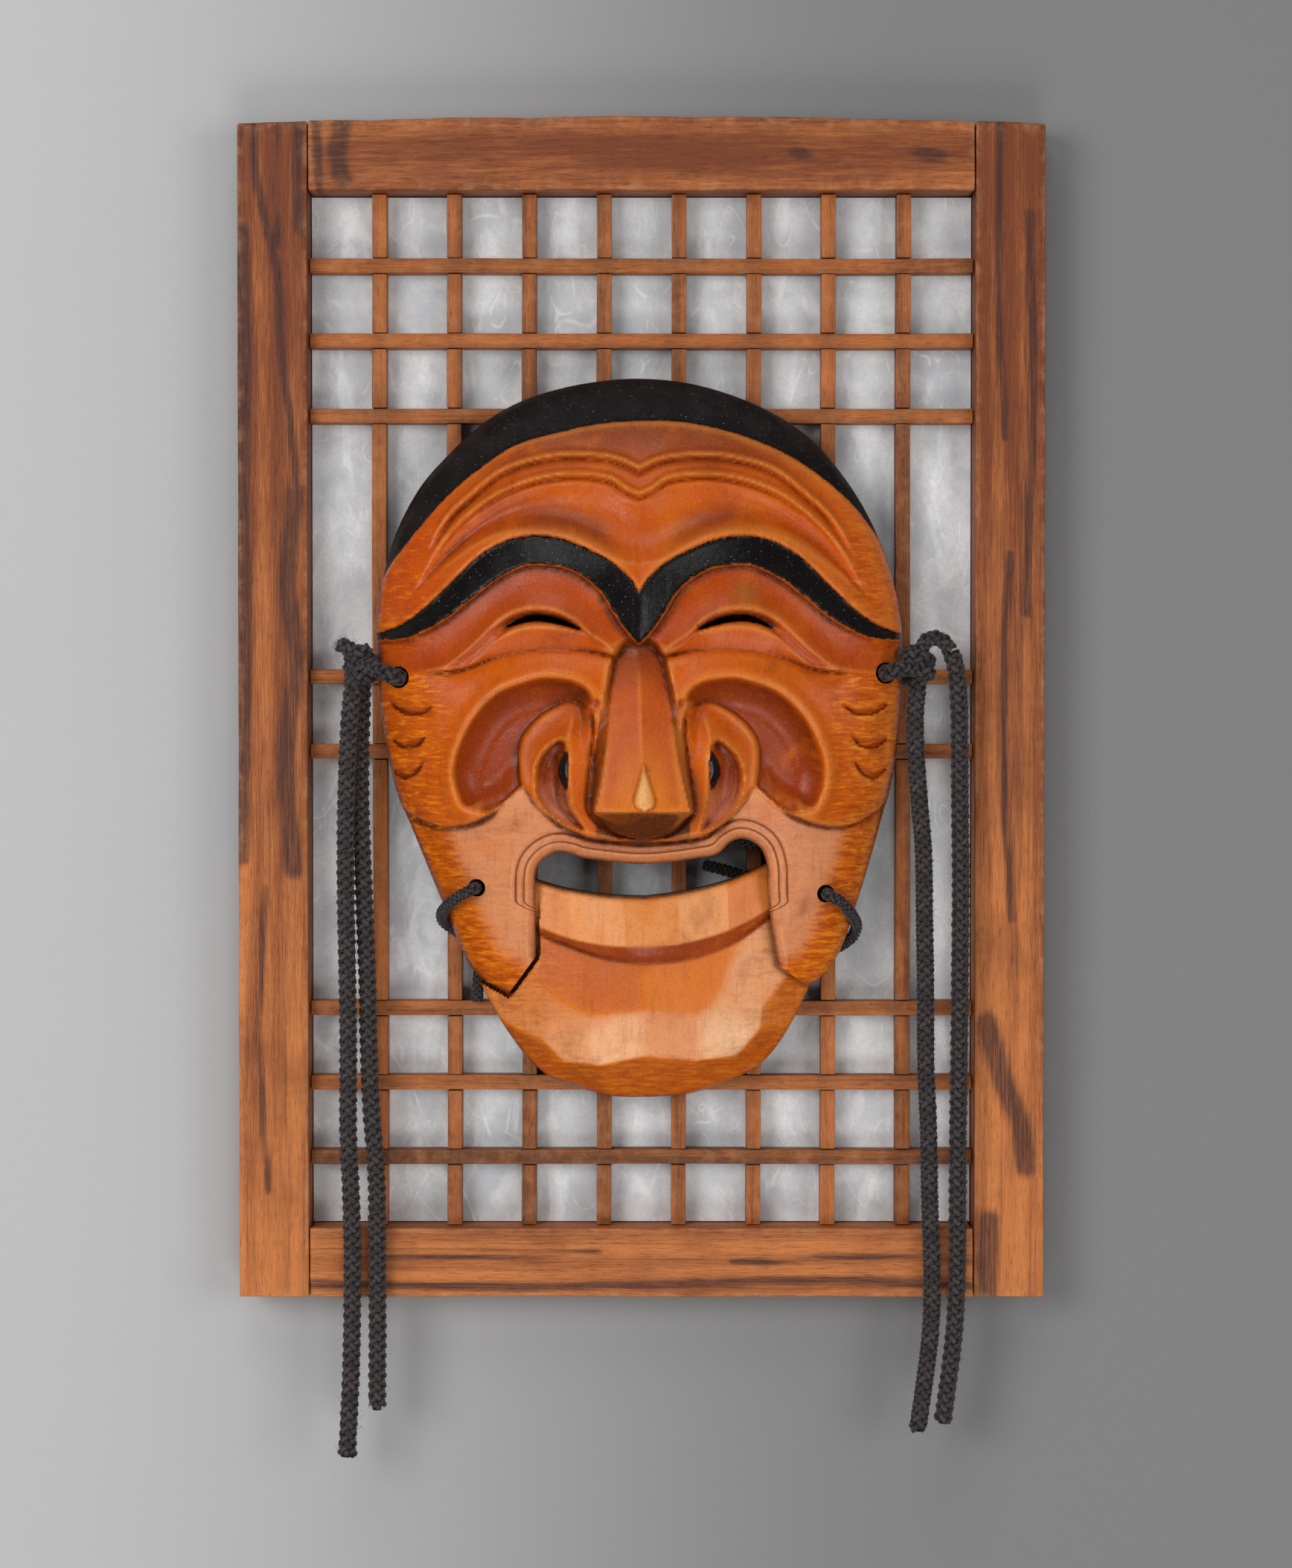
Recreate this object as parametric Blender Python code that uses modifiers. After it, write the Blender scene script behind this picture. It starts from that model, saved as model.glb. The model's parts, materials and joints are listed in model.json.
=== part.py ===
"""Wall plaque with a two-piece carved folk-theatre mask of the hahoe kind.

A dark wood frame holds a half-lapped lattice with mulberry paper behind it.
The mask, an upper face and a separate lower jaw tied on with thin cords, sits
on the front of the lattice, and two doubled braided cords hang from its ears.

Metres, +Z up, front towards -Y. The origin is the centre of the top rail's
flat back face, which lies against the wall.
"""
import math

import bmesh
import bpy
import numpy as np
from mathutils import Matrix, Vector

MM = 0.001
GAP = 0.3 * MM

# Frame
FRAME_HALF_WIDTH = 132.7 * MM
FRAME_DEPTH = 18.0 * MM
FRAME_TOP = 13.5 * MM
FRAME_TOP_BOW = 2.3 * MM
FRAME_BOTTOM = -375.0 * MM
OPENING_HALF_WIDTH = 109.7 * MM
OPENING_TOP = -11.0 * MM
OPENING_BOTTOM = -352.2 * MM
FRAME_EDGE = 1.2 * MM

# Lattice
BAR_WIDTH = 4.8 * MM
BAR_FRONT = 12.0 * MM
BAR_BACK = 4.0 * MM
BAR_PITCH = 24.7 * MM
VERTICAL_BARS = 8
GROUP_TOPS = (-34.8 * MM, -170.3 * MM, -280.0 * MM)
GROUP_SIZES = (3, 2, 3)
PAPER_THICKNESS = 0.6 * MM

# Mask placing: its rim lies on the lattice
RIM_DEPTH = BAR_FRONT + GAP
MASK_X = -0.7 * MM
MASK_Z = -192.8 * MM

# Mask section, in millimetres ahead of the rim
EDGE_HEIGHT = 12.0
FOREHEAD_WALL = 13.0
CHEEK_WALL = 9.5
RIM_WIDTH = 5.0
FLAP_DROP = -3.8
NOSE_LEAN = 1.2
NOSE_ROOF = 1.7
PIP_SIZE = (3.6, 5.6)
HOLLOW_DEPTH = 9.2
HOLLOW_REACH = 11.0
EAR_HOLE_RADIUS = 3.5
TIE_HOLE_RADIUS = 2.9
JAW_HOLE_RADIUS = 3.5
EAR_HOLES = ((-77.9, 22.1), (80.0, 23.5))
TIE_HOLES = ((-52.7, -46.1), (60.5, -48.0))

# Jaw placing: it hangs turned a little about a point below the lip
JAW_TURN = math.radians(2.4)
JAW_PIVOT = (1.8, -48.0)
JAW_RISE = 1.0
JAW_EDGE_HEIGHT = 7.0
JAW_WALL = 7.0
JAW_CLEARANCE = 1.0
JAW_EAR_LIFT = 5.6

# Carving grid before it is thinned out and the softness of a carved step, in millimetres
GRID_STEP = 1.2
STEP_SOFTNESS = 0.8
MASK_KEEP = 0.044
JAW_KEEP = 0.055

# Cords
CORD_DIAMETER = 6.0 * MM
TIE_DIAMETER = 3.8 * MM
CORD_POINT_SPACING = 2.4 * CORD_DIAMETER
TIE_POINT_SPACING = 4.0 * MM
STRAND_POINT_SPACING = 4.5 * MM

# Outlines of the mask in millimetres from its middle, seen from the front
HEAD_EDGE = (
    (-42.8, -81.1), (-53.3, -75.0), (-58.8, -65.7), (-67.7, -44.1), (-73.8, -28.9),
    (-79.1, -15.4), (-83.0, 2.0), (-85.3, 20.0), (-86.0, 34.0), (-84.6, 50.0),
    (-80.5, 67.5), (-72.3, 83.7), (-62.0, 95.7), (-51.2, 105.4), (-39.0, 112.5),
    (-24.6, 117.0), (-9.0, 119.5), (4.0, 119.8), (18.0, 118.0), (32.0, 113.8),
    (46.4, 107.1), (57.6, 98.7), (67.0, 87.5), (75.0, 74.5), (81.0, 60.0),
    (84.7, 44.8), (86.0, 32.0), (85.7, 18.0), (85.0, 5.0), (83.2, -10.2),
    (79.4, -25.0), (73.9, -43.6), (70.2, -54.7), (66.5, -65.5), (61.0, -74.3),
    (54.9, -78.4),
)
MOUTH_EDGE = (
    (45.1, -71.1), (42.5, -55.6), (41.6, -46.7), (41.4, -39.5), (39.8, -34.0),
    (36.6, -31.0), (32.6, -29.9), (28.9, -31.4), (25.0, -34.9), (18.6, -36.2),
    (9.0, -37.5), (0.0, -38.0), (-9.0, -37.3), (-18.0, -36.1), (-22.0, -34.8),
    (-26.5, -34.4), (-30.6, -36.4), (-33.1, -39.8), (-33.7, -45.3), (-33.6, -55.6),
    (-33.6, -68.4),
)

# Carved lines of the right half, (across, up) in millimetres
HAIRLINE = (
    (-90.0, 44.0), (-82.8, 56.1), (-72.3, 69.3), (-61.3, 81.3), (-50.2, 90.4),
    (-40.0, 97.0), (-27.9, 100.6), (-11.3, 104.1), (7.6, 104.9), (19.8, 103.6),
    (33.1, 100.2), (45.3, 95.3), (56.4, 88.7), (67.4, 79.9), (76.0, 70.0), (90.0, 52.0),
)
UPPER_RIDGE = ((0, 89.4), (5.5, 92.0), (12, 93.5), (24, 94), (36, 92), (45, 88.5), (54, 81.5),
               (62, 74), (70, 62), (80, 44))
LOWER_RIDGE = ((0, 80.9), (4, 82.6), (9, 86), (17, 87.4), (26, 87.3), (36, 85.2), (46, 81),
               (55, 74.5), (62, 67.5), (68.5, 59.5), (80, 44))
BROW_LIP = ((0, 58.1), (8, 59.8), (15.7, 64.3), (24.6, 68.1), (36.8, 69.2), (50, 65.9),
            (64.5, 56), (76, 45), (88, 38))
BROW_TOP = ((0, 48.9), (2.9, 53.6), (8.8, 58.8), (16.4, 62.9), (25.2, 66.3), (34, 67.3),
            (42.2, 65.9), (50.4, 61.6), (57.4, 55.4), (65.1, 47.9), (71.5, 42.6), (77.9, 38.9),
            (86, 36.3), (90, 35.8))
BROW_BOTTOM = ((0, 32.3), (4.7, 37.6), (8.8, 43.8), (11.7, 48.6), (16.4, 53.2), (22.3, 56.5),
               (28.1, 57.8), (34, 58.1), (38.1, 57.2), (45.7, 53.4), (53.9, 47.2), (61.5, 41.2),
               (69.1, 37), (76.2, 34.6), (86, 34.3), (90, 34.2))
LID_RIDGE = ((0, 27.5), (5.9, 29.5), (10.6, 32.5), (15.8, 36), (20.5, 39.8), (25.8, 42.7),
             (31.7, 44), (36.9, 43.6), (42.2, 41.6), (46.9, 38.3), (51.6, 33.7), (56.3, 29.5),
             (61.5, 26.3), (67.4, 24.8), (74.7, 24.3), (90, 26))
LOWER_LID = ((0, 27), (11.1, 30.4), (19.4, 36.3), (25.8, 38), (32.2, 38.5), (38.1, 37.8),
             (43.4, 35.4), (48, 31.9), (52.5, 27.8), (58, 25.2), (74.7, 23.8), (90, 25))
UNDER_EYE = ((0, 26.5), (6.1, 28.1), (11.1, 29.3), (19.4, 30.4), (28.1, 30.7), (36.9, 30.1),
             (45.7, 28.1), (53.9, 25.5), (63.3, 24), (74.7, 23.3), (90, 24))
EYE_SLIT = ((18.8, 37.3), (25.2, 40.6), (31.7, 42.0), (37.2, 41.2), (42.8, 38.0), (37.2, 39.5),
            (31.7, 40.0), (25.2, 38.9))
CHEEK_HOLLOW = ((14.1, 10.9), (14.9, 15.5), (17, 18.7), (20.5, 20.7), (25.2, 21.7), (31.1, 21.9),
                (36.9, 20.5), (43.4, 18), (48.6, 14.2), (53.3, 8.9), (56.8, 2.7), (59.2, -3.8),
                (59.8, -9.7), (58.6, -15.5), (55.7, -20.4), (48.1, -21.2), (42.2, -17.6),
                (37.5, -13.2))
WING = ((37.5, -13.6), (38.5, -7), (38.6, -1), (36.9, 4), (31.7, 9.6), (24.6, 13.8),
        (20.5, 14.3), (17, 12.9), (14.6, 10), (14.2, 5), (14.9, -1), (15.8, -9.7),
        (16.5, -17.3), (15.6, -22), (10, -27.4), (3, -29.6), (0, -30), (0, -31), (8, -30.6),
        (16.4, -29.6), (25.8, -25.2), (34, -17.3))
WING_RIM_POINTS = 9
NOSTRIL = ((23.2, 0.9), (25.8, 2.1), (29.9, -0.9), (32.5, -5), (33.4, -9.7), (32.8, -15.5),
           (30.5, -20.2), (26.4, -24.0), (21.7, -26.4), (18.3, -27.2), (19.9, -23.1),
           (21.7, -18.4), (22.4, -12.6), (22.6, -3.8))
NOSTRIL_SLIT = ((22.9, -2.2), (24.8, -4.2), (25.7, -7.5), (25.0, -10.8), (22.9, -13.2))
NOSE_BASE = ((0, -29.6), (3, -29.4), (10, -27.2), (16.3, -20.8))
SMILE_LINE = ((0, -30.9), (4.7, -30.8), (16.4, -29.6), (21.1, -27.8), (25.8, -25.2),
              (30.5, -21.1), (34, -17.3), (37.5, -13.4), (43.4, -18.2), (48.6, -22),
              (53.9, -24.5), (58.6, -25.8), (64.5, -26.2), (69.1, -25.1), (76.2, -21.8),
              (90, -14))
CROWS_FEET = (
    ((64.8, 13.8), (69.0, 10.4), (74.0, 9.6), (78.5, 11.5), (82.3, 15.5)),
    ((67.8, 4.1), (71.0, 0.0), (75.6, -1.2), (79.0, 0.4), (81.8, 3.6)),
    ((68.8, -3.6), (71.4, -8.6), (75.6, -11.0), (79.0, -9.6), (81.2, -6.4)),
)

# Jaw outline of the right half, in its own straight frame
JAW_EDGE = ((0, -116.9), (11.5, -116.3), (22.5, -113.6), (32.5, -109.3), (39, -104.2),
            (44.5, -97), (49.5, -88.5), (53.5, -80.5), (56.5, -72), (58.3, -63), (60, -56),
            (62.8, -50), (62.3, -43.5), (57, -38.9), (47, -39.6), (38.5, -42.2), (34, -44),
            (26, -46.7), (13, -49.3), (0, -50.5))

# Knife facets: places where a flat cut touches the dome, right half and middle
CHIN_FACETS = ((0, -80), (0, -97), (26, -92), (43, -82), (0, -111.5), (18, -109.5), (31, -103.5),
               (42.5, -95), (51, -84))
LIP_FACETS = (-33, -16, 2, 19, 34)
FLAP_FACETS = ((46, -50), (62, -48), (43, -31), (22, -33))

# Height tables: (up, value) in millimetres
MIDDLE_HEIGHT = ((-90, 27), (-82, 30.5), (-60, 36), (-40, 39), (-20, 42), (0, 43.5), (20, 44),
                 (40, 44), (60, 41.5), (80, 36.5), (95, 30.5), (108, 22.5), (116, 16), (121, 12))
HALF_WIDTH = ((-90, 46), (-80, 55), (-75, 58.5), (-66, 63.5), (-57, 66.5), (-44, 71.5),
              (-29, 77), (-15, 81.3), (0, 84.2), (20, 86.5), (35, 87.2), (50, 85.8), (67.5, 80),
              (83.7, 71.5), (95.7, 61.5), (105.4, 50.5), (112.5, 38.5), (117, 26), (120.5, 12))
NOSE_HEIGHT = ((-21, 59), (-18, 58.4), (-10, 54.6), (0, 49.8), (10, 45), (20, 41), (28, 38.6),
               (33, 38))
NOSE_EDGE = ((-21, 15.2), (-12.6, 13.2), (-0.9, 11.1), (13.8, 9.4), (27.9, 7.4), (34, 5))
NOSE_FOOT = ((-22, 16.4), (-17, 16.5), (-10, 15.8), (-1, 14.9), (5, 14.2), (11, 14), (20, 15),
             (28, 12), (34, 6))
JAW_MIDDLE = ((-118, 7.5), (-111, 15), (-104.5, 22.5), (-95, 26.5), (-82, 28.5), (-70, 27.6),
              (-50, 26))
JAW_HALF_WIDTH = ((-117.5, 10), (-116.3, 17), (-113.6, 26), (-109.3, 34.5), (-104.2, 41),
                  (-97, 46.5), (-88.5, 51.5), (-80.5, 55.5), (-72, 59), (-62, 62), (-52, 64.5),
                  (-38, 64.5))
LIP_BOTTOM = ((0, -65.7), (13, -64.9), (26, -61.9), (36, -57.6), (46, -52.5), (66, -40))
LIP_HEIGHT = 31.0
LIP_DROP = 7.2
LIP_UNDERSIDE = 5.8

# Ties: (across, up, ahead of the rim), None for a height that lies on the carved face
TIE_LEFT = ((-44.5, -33.5, 5.0), (-49.3, -39.5, 2.4), (-51.9, -44.3, 2.6), (-52.7, -46.1, 5.6),
            (-52.7, -46.1, 11.0), (-52.7, -46.1, 20.0), (-54.0, -46.5, None), (-57.0, -48.0, None),
            (-60.6, -50.8, None), (-64.4, -54.6, 14.4), (-65.3, -57.0, 9.0), (-63.6, -60.0, 4.4),
            (-60.6, -63.6, 2.6), (-58.8, -68.0, 2.3), (-57.2, -73.5, 2.3), (-55.6, -79.5, 2.3),
            (-54.6, -86.5, 2.3))
TIE_RIGHT = ((28.0, -28.6, 13.0), (35.5, -32.2, 12.0), (43.0, -33.4, 8.6), (51.0, -35.4, 3.4),
             (57.0, -41.0, 2.4), (59.4, -46.0, 2.8), (60.5, -48.0, 5.8), (60.5, -48.0, 11.0),
             (60.5, -48.0, 19.0), (61.2, -49.2, None), (63.4, -52.0, None), (66.4, -55.8, None),
             (70.6, -60.4, 12.8), (71.2, -62.6, 7.4), (69.8, -65.4, 3.4), (66.8, -69.4, 2.3),
             (64.2, -74.0, 2.3))
TIE_RIGHT_TAIL = ((58.6, -44.6, 2.6), (50.0, -46.4, 2.4), (42.0, -45.4, 2.6), (35.0, -43.4, 2.6),
                  (28.0, -41.2, 4.4), (21.6, -39.4, 7.0))

# Knots beside the ears: (across, up, ahead of the wall) in millimetres
KNOT_SIZE = (6.6, 8.0, 6.8)
STRAND_DIAMETER = 4.6 * MM
KNOTS = {
    "ear_knot_left": {
        "centre": (-92.2, -166.8, 30.0),
        "strand": ((-78.6, -170.7, 14.0), (-78.6, -170.7, 36.6), (-80.4, -170.1, 40.0),
                   (-84.6, -168.6, 39.4), (-90.5, -166.3, 33.0)),
        "end": ((-92.2, -165.6, 31.0), (-95.4, -160.2, 31.0), (-97.3, -156.4, 30.0)),
    },
    "ear_knot_right": {
        "centre": (90.9, -166.6, 31.0),
        "strand": ((79.3, -169.3, 14.0), (79.3, -169.3, 35.0), (81.0, -168.8, 38.6),
                   (85.2, -167.8, 38.0), (89.8, -166.8, 32.6)),
        "end": ((90.6, -166.0, 31.5), (91.0, -161.4, 32.0), (93.2, -158.3, 32.2),
                (96.2, -157.9, 32.0), (98.6, -159.3, 31.5), (100.18, -161.68, 31.05)),
    },
}

# Free cords: (across, up, ahead of the wall) in millimetres, from the knots down
CORD_ROUTES = {
    "cord_left_outer": ((-93.8, -174.6, 33.4), (-94.7, -183.0, 32.2), (-95.6, -195.0, 30.2),
                        (-96.3, -215.0, 29.2), (-96.5, -240.0, 28.4), (-96.1, -268.0, 27.6),
                        (-95.9, -295.0, 26.6), (-96.1, -320.0, 25.4), (-95.3, -340.0, 24.3),
                        (-95.0, -358.0, 23.2), (-95.1, -378.0, 22.3), (-95.6, -400.0, 22.0),
                        (-96.9, -427.0, 22.6)),
    "cord_left_inner": ((-91.2, -174.6, 26.6), (-91.5, -183.0, 25.2), (-91.9, -195.0, 24.4),
                        (-91.9, -215.0, 24.0), (-91.0, -240.0, 23.8), (-89.9, -268.0, 23.6),
                        (-89.5, -290.0, 23.4), (-88.6, -313.0, 23.0), (-87.0, -336.0, 22.6),
                        (-86.9, -358.0, 22.2), (-86.8, -384.0, 22.0), (-87.0, -411.5, 22.4)),
    "cord_right_inner": ((90.0, -174.4, 29.0), (89.4, -182.0, 27.4), (89.6, -193.0, 26.0),
                         (90.8, -210.0, 25.2), (92.3, -228.0, 24.8), (92.7, -250.0, 24.4),
                         (93.1, -272.0, 24.0), (93.3, -298.0, 23.5), (94.2, -318.0, 23.0),
                         (94.8, -345.0, 22.4), (95.6, -368.0, 21.9), (94.9, -388.0, 21.9),
                         (90.9, -418.5, 22.4)),
    "cord_right_outer": ((100.85, -162.85, 31.0), (102.4, -168.0, 30.2), (103.6, -180.0, 28.6),
                         (103.9, -195.0, 26.8), (104.2, -215.0, 25.9), (104.5, -238.0, 25.2),
                         (104.4, -266.0, 24.5), (104.2, -297.0, 23.8), (103.9, -322.0, 23.1),
                         (103.9, -345.0, 22.5), (103.8, -368.0, 21.9), (102.6, -389.0, 21.8),
                         (99.1, -416.0, 22.2)),
}


# Curves in the mask's own plane
def smooth_line(points, closed=False, per_span=8):
    """Catmull-Rom curve through points, as an array with per_span steps a span."""
    pts = np.asarray(points, dtype=float)
    if closed:
        padded = np.vstack((pts[-1], pts, pts[:2]))
    else:
        padded = np.vstack((2 * pts[0] - pts[1], pts, 2 * pts[-1] - pts[-2]))
    rows = []
    for i in range(1, len(padded) - 2):
        p0, p1, p2, p3 = padded[i - 1:i + 3]
        for t in np.arange(per_span) / per_span:
            rows.append(0.5 * (2 * p1 + (p2 - p0) * t + (2 * p0 - 5 * p1 + 4 * p2 - p3) * t ** 2
                               + (3 * p1 - p0 - 3 * p2 + p3) * t ** 3))
    if not closed:
        rows.append(padded[-2])
    return np.array(rows)


def value_on(table, x):
    """Smooth value of a (place, value) table at x."""
    line = smooth_line(table)
    return np.interp(x, line[:, 0], line[:, 1])


def above(curve, u, v):
    """Distance of (u, v) above a carved line, square to the line."""
    line = smooth_line(curve)
    slope = np.gradient(line[:, 1], line[:, 0])
    rise = v - np.interp(u, line[:, 0], line[:, 1])
    return rise / np.sqrt(1 + np.interp(u, line[:, 0], slope) ** 2)


def distance(line, u, v):
    """Distance of (u, v) from an open line of points."""
    best = np.full(np.shape(u), np.inf)
    for (ax, ay), (bx, by) in zip(line[:-1], line[1:]):
        dx, dy = bx - ax, by - ay
        along = np.clip(((u - ax) * dx + (v - ay) * dy) / (dx * dx + dy * dy + 1e-12), 0, 1)
        best = np.minimum(best, np.hypot(u - ax - along * dx, v - ay - along * dy))
    return best


def within(loop, u, v):
    """True where (u, v) is inside a closed loop of points."""
    inside = np.zeros(np.shape(u), dtype=bool)
    for (ax, ay), (bx, by) in zip(loop, np.roll(loop, -1, axis=0)):
        crosses = (ay > v) != (by > v)
        rise = by - ay if by != ay else 1e-12
        inside ^= crosses & (u < ax + (v - ay) * (bx - ax) / rise)
    return inside


def depth_in(loop, u, v):
    """Distance inside a closed loop, negative outside it."""
    gap = distance(np.vstack((loop, loop[:1])), u, v)
    return np.where(within(loop, u, v), gap, -gap)


def step(low, high, x):
    """Smooth rise from 0 at low to 1 at high."""
    t = np.clip((x - low) / (high - low), 0, 1)
    return t * t * (3 - 2 * t)


def past(x):
    """Soft switch: 1 where x is above 0 and 0 below it."""
    return step(-STEP_SOFTNESS, STEP_SOFTNESS, x)


def bump(x, width):
    """Soft ridge of height 1 around x = 0."""
    return np.exp(-(x / width) ** 2)


def cut_flat(dome, places, u, v):
    """Dome replaced by the flat knife cuts that touch it at the given places."""
    lowest = np.full(np.shape(u), np.inf)
    for place_u, place_v in places:
        at = [np.array([float(place_u)]), np.array([float(place_v)])]
        h = dome(*at)[0]
        slope_u = (dome(at[0] + 0.5, at[1])[0] - dome(at[0] - 0.5, at[1])[0])
        slope_v = (dome(at[0], at[1] + 0.5)[0] - dome(at[0], at[1] - 0.5)[0])
        lowest = np.minimum(lowest, h + slope_u * (u - place_u) + slope_v * (v - place_v))
    return lowest


def both_sides(places):
    return tuple(places) + tuple((-u, v) for u, v in places if u)


def mask_outline():
    """Closed outline of the upper mask, with sharp tips on its cheek flaps."""
    return np.vstack((smooth_line(HEAD_EDGE, per_span=6), smooth_line(MOUTH_EDGE, per_span=4)))


def jaw_outline():
    """Closed outline of the jaw in its own straight frame."""
    half = smooth_line(JAW_EDGE, per_span=4)
    return np.vstack((half, half[-2:0:-1] * (-1, 1)))


def circle(centre, radius, count=24):
    angles = np.arange(count) * 2 * math.pi / count
    return np.column_stack((centre[0] + radius * np.cos(angles), centre[1] + radius * np.sin(angles)))


def mirrored(points, side):
    return np.asarray(points, dtype=float) * (side, 1)


def sway(v):
    """The lower face leans a few millimetres to one side, as it was carved."""
    return np.where(v < -20, 6 * (1 - np.exp((np.minimum(v, -20) + 20) / 30)), 0.0)


# Upper mask
def mask_dome(u, v):
    """Plain dome of the face that the carving is cut from."""
    edge = EDGE_HEIGHT + 4.5 * step(20, 78, -v)
    reach = np.clip(np.abs(u - sway(v)) / value_on(HALF_WIDTH, v), 0, 1)
    return edge + (value_on(MIDDLE_HEIGHT, v) - edge) * (1 - reach ** 2.6) ** 0.7


def forehead(u, v):
    a = np.abs(u)
    relief = -1.3 * step(-0.3, 0.6, above(HAIRLINE, u, v))
    fade = 1 - step(54, 70, a)
    for ridge in (UPPER_RIDGE, LOWER_RIDGE):
        rise = above(ridge, a, v)
        relief += fade * (1.9 * bump(rise, 1.3) - 1.2 * bump(rise + 2.3, 1.1))
    upper, lower = value_on(LOWER_RIDGE, a) - 3, value_on(BROW_LIP, a)
    t = np.clip((v - lower) / np.maximum(upper - lower, 1), 0, 1)
    relief -= 3.2 * np.sin(math.pi * t) * (1 - step(56, 76, a))
    return relief


def brows_and_lids(u, v):
    """Brow ridge, eyelids and eye line."""
    a = np.abs(u)
    brow_top, brow_bottom = above(BROW_TOP, a, v), above(BROW_BOTTOM, a, v)
    lid, low_lid, under = above(LID_RIDGE, a, v), above(LOWER_LID, a, v), above(UNDER_EYE, a, v)
    ends = 1 - 0.6 * step(58, 80, a)
    band = np.clip(brow_bottom / np.maximum(brow_bottom - brow_top, 0.5), 0, 1)
    relief = 1.3 * step(7, 0, brow_top) * past(brow_top)
    relief += (1.1 - 1.7 * band) * past(-brow_top) * past(brow_bottom)
    t = np.clip((v - value_on(LID_RIDGE, a))
                / np.maximum(value_on(BROW_BOTTOM, a) - value_on(LID_RIDGE, a), 1), 0, 1)
    lids = (-2.7 * t ** 0.8 - 0.5 * (1 - t) - 1.2 * np.sin(math.pi * t)) * ends
    relief += lids * past(-brow_bottom - 0.3) * past(lid)
    opening = np.maximum(value_on(LID_RIDGE, a) - value_on(LOWER_LID, a), 0.6)
    s = np.clip((v - value_on(LOWER_LID, a)) / opening, 0, 1)
    gap = (-1.8 - 4.2 * step(0, 0.45, s) + 5.5 * step(0.72, 1.0, s)) * ends * step(0.6, 5, opening)
    relief += gap * past(-lid) * past(low_lid)
    slope = -1.8 - 2.6 * np.clip(-low_lid / np.maximum(under - low_lid, 0.5), 0, 1)
    relief += slope * ends * step(62, 50, a) * past(-low_lid) * past(under)
    shadow = 4.0 * np.exp(np.minimum(under, 0) / 3.5) * ends * step(80, 55, a)
    return relief - shadow * past(-under)


def cheeks(u, v):
    """Hollow cheeks, nostril wings, the smile line and the flat flaps below it."""
    relief = np.zeros(np.shape(u))
    a = np.abs(u - sway(v))
    below = above(SMILE_LINE, a, v)
    rim = smooth_line(CHEEK_HOLLOW)[:-21]
    hollow = depth_in(smooth_line(CHEEK_HOLLOW, closed=True), a, v)
    wing_loop = smooth_line(WING, closed=True, per_span=6)
    wing_rim = smooth_line(WING[:WING_RIM_POINTS])
    wing = depth_in(wing_loop, a, v)
    slope = 1 - np.clip(distance(rim, a, v) / HOLLOW_REACH, 0, 1)
    floor = -HOLLOW_DEPTH * (1 - slope ** 2) + 3.0 * step(9, 0, below)
    relief += floor * past(hollow - 0.4) + 1.2 * bump(hollow + 1.4, 2.6) * past(-hollow) * past(below)
    wing_height = -6.4 + 7.4 * step(1, 17, distance(wing_rim, a, v)) - 1.2 * bump(wing, 0.8)
    wing_height += 3.2 * step(4, -14, v) * step(12, 4, distance(wing_rim, a, v))
    relief += (wing_height - relief) * past(wing)
    nostril = depth_in(smooth_line(NOSTRIL, closed=True), a, v)
    relief -= np.where(nostril > 0, 7.5 * step(-0.5, 5.0, nostril), -0.5 * bump(nostril, 1.0))
    roll = 1.0 * np.exp(-np.maximum(below, 0) / 3.0) * step(44, 54, a)
    flap = FLAP_DROP - 0.8 * bump(below, 1.2)
    relief = flap + (relief - roll - flap) * past(below)
    for fold in CROWS_FEET:
        line = smooth_line(fold)
        ends = step(line[0, 0], line[0, 0] + 5, a) * step(line[-1, 0] + 1, line[-1, 0] - 3, a)
        relief -= 1.5 * bump(distance(line, a, v), 1.15) * ends * (below > 0)
    return relief


def lips(u, v):
    """Rolled edge and double line round the mouth."""
    gap = distance(smooth_line(MOUTH_EDGE, per_span=4), u, v)
    fade = step(-58, -50, v)
    relief = -2.6 * (1 - np.clip(gap / 2.6, 0, 1)) ** 1.1
    lines = 0.8 * bump(gap - 6.4, 0.75) + 0.6 * bump(gap - 4.3, 0.6) + 0.6 * step(6.6, 5.8, gap)
    return relief - fade * lines


def with_nose(u, v, cheek):
    """Straight nose laid over the cheeks, with a square flat-cut tip."""
    across = u - NOSE_LEAN * step(25, -20, v)
    a = np.abs(across)
    top, edge, foot = value_on(NOSE_HEIGHT, v), value_on(NOSE_EDGE, v), value_on(NOSE_FOOT, v)
    front = top - NOSE_ROOF * np.clip(a / edge, 0, 1)
    narrow = 1 - 0.6 * np.clip((v + 15) / 8, 0, 1)
    pip = np.hypot((across - 0.6) / (PIP_SIZE[0] * narrow), (v + 14.6) / PIP_SIZE[1])
    front += 1.9 * step(1.0, 0.3, pip)
    slide = np.clip((a - edge) / np.maximum(foot - edge, 0.8), 0, 1)
    side = (top - NOSE_ROOF) + (cheek - top + NOSE_ROOF) * slide
    nose = np.where(a <= edge, front, side)
    result = np.where((v >= -20.6) & (v <= 33) & (a < foot), nose, cheek)
    base = smooth_line(NOSE_BASE)
    under = depth_in(np.vstack((base, base[::-1] * (-1, 1))), across, v)
    slant = cheek + 1 + (58 - NOSE_ROOF - cheek) * np.clip(under / 8.4, 0, 1)
    return np.where((v < -20.6) & (under > 0), slant, result)


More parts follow.
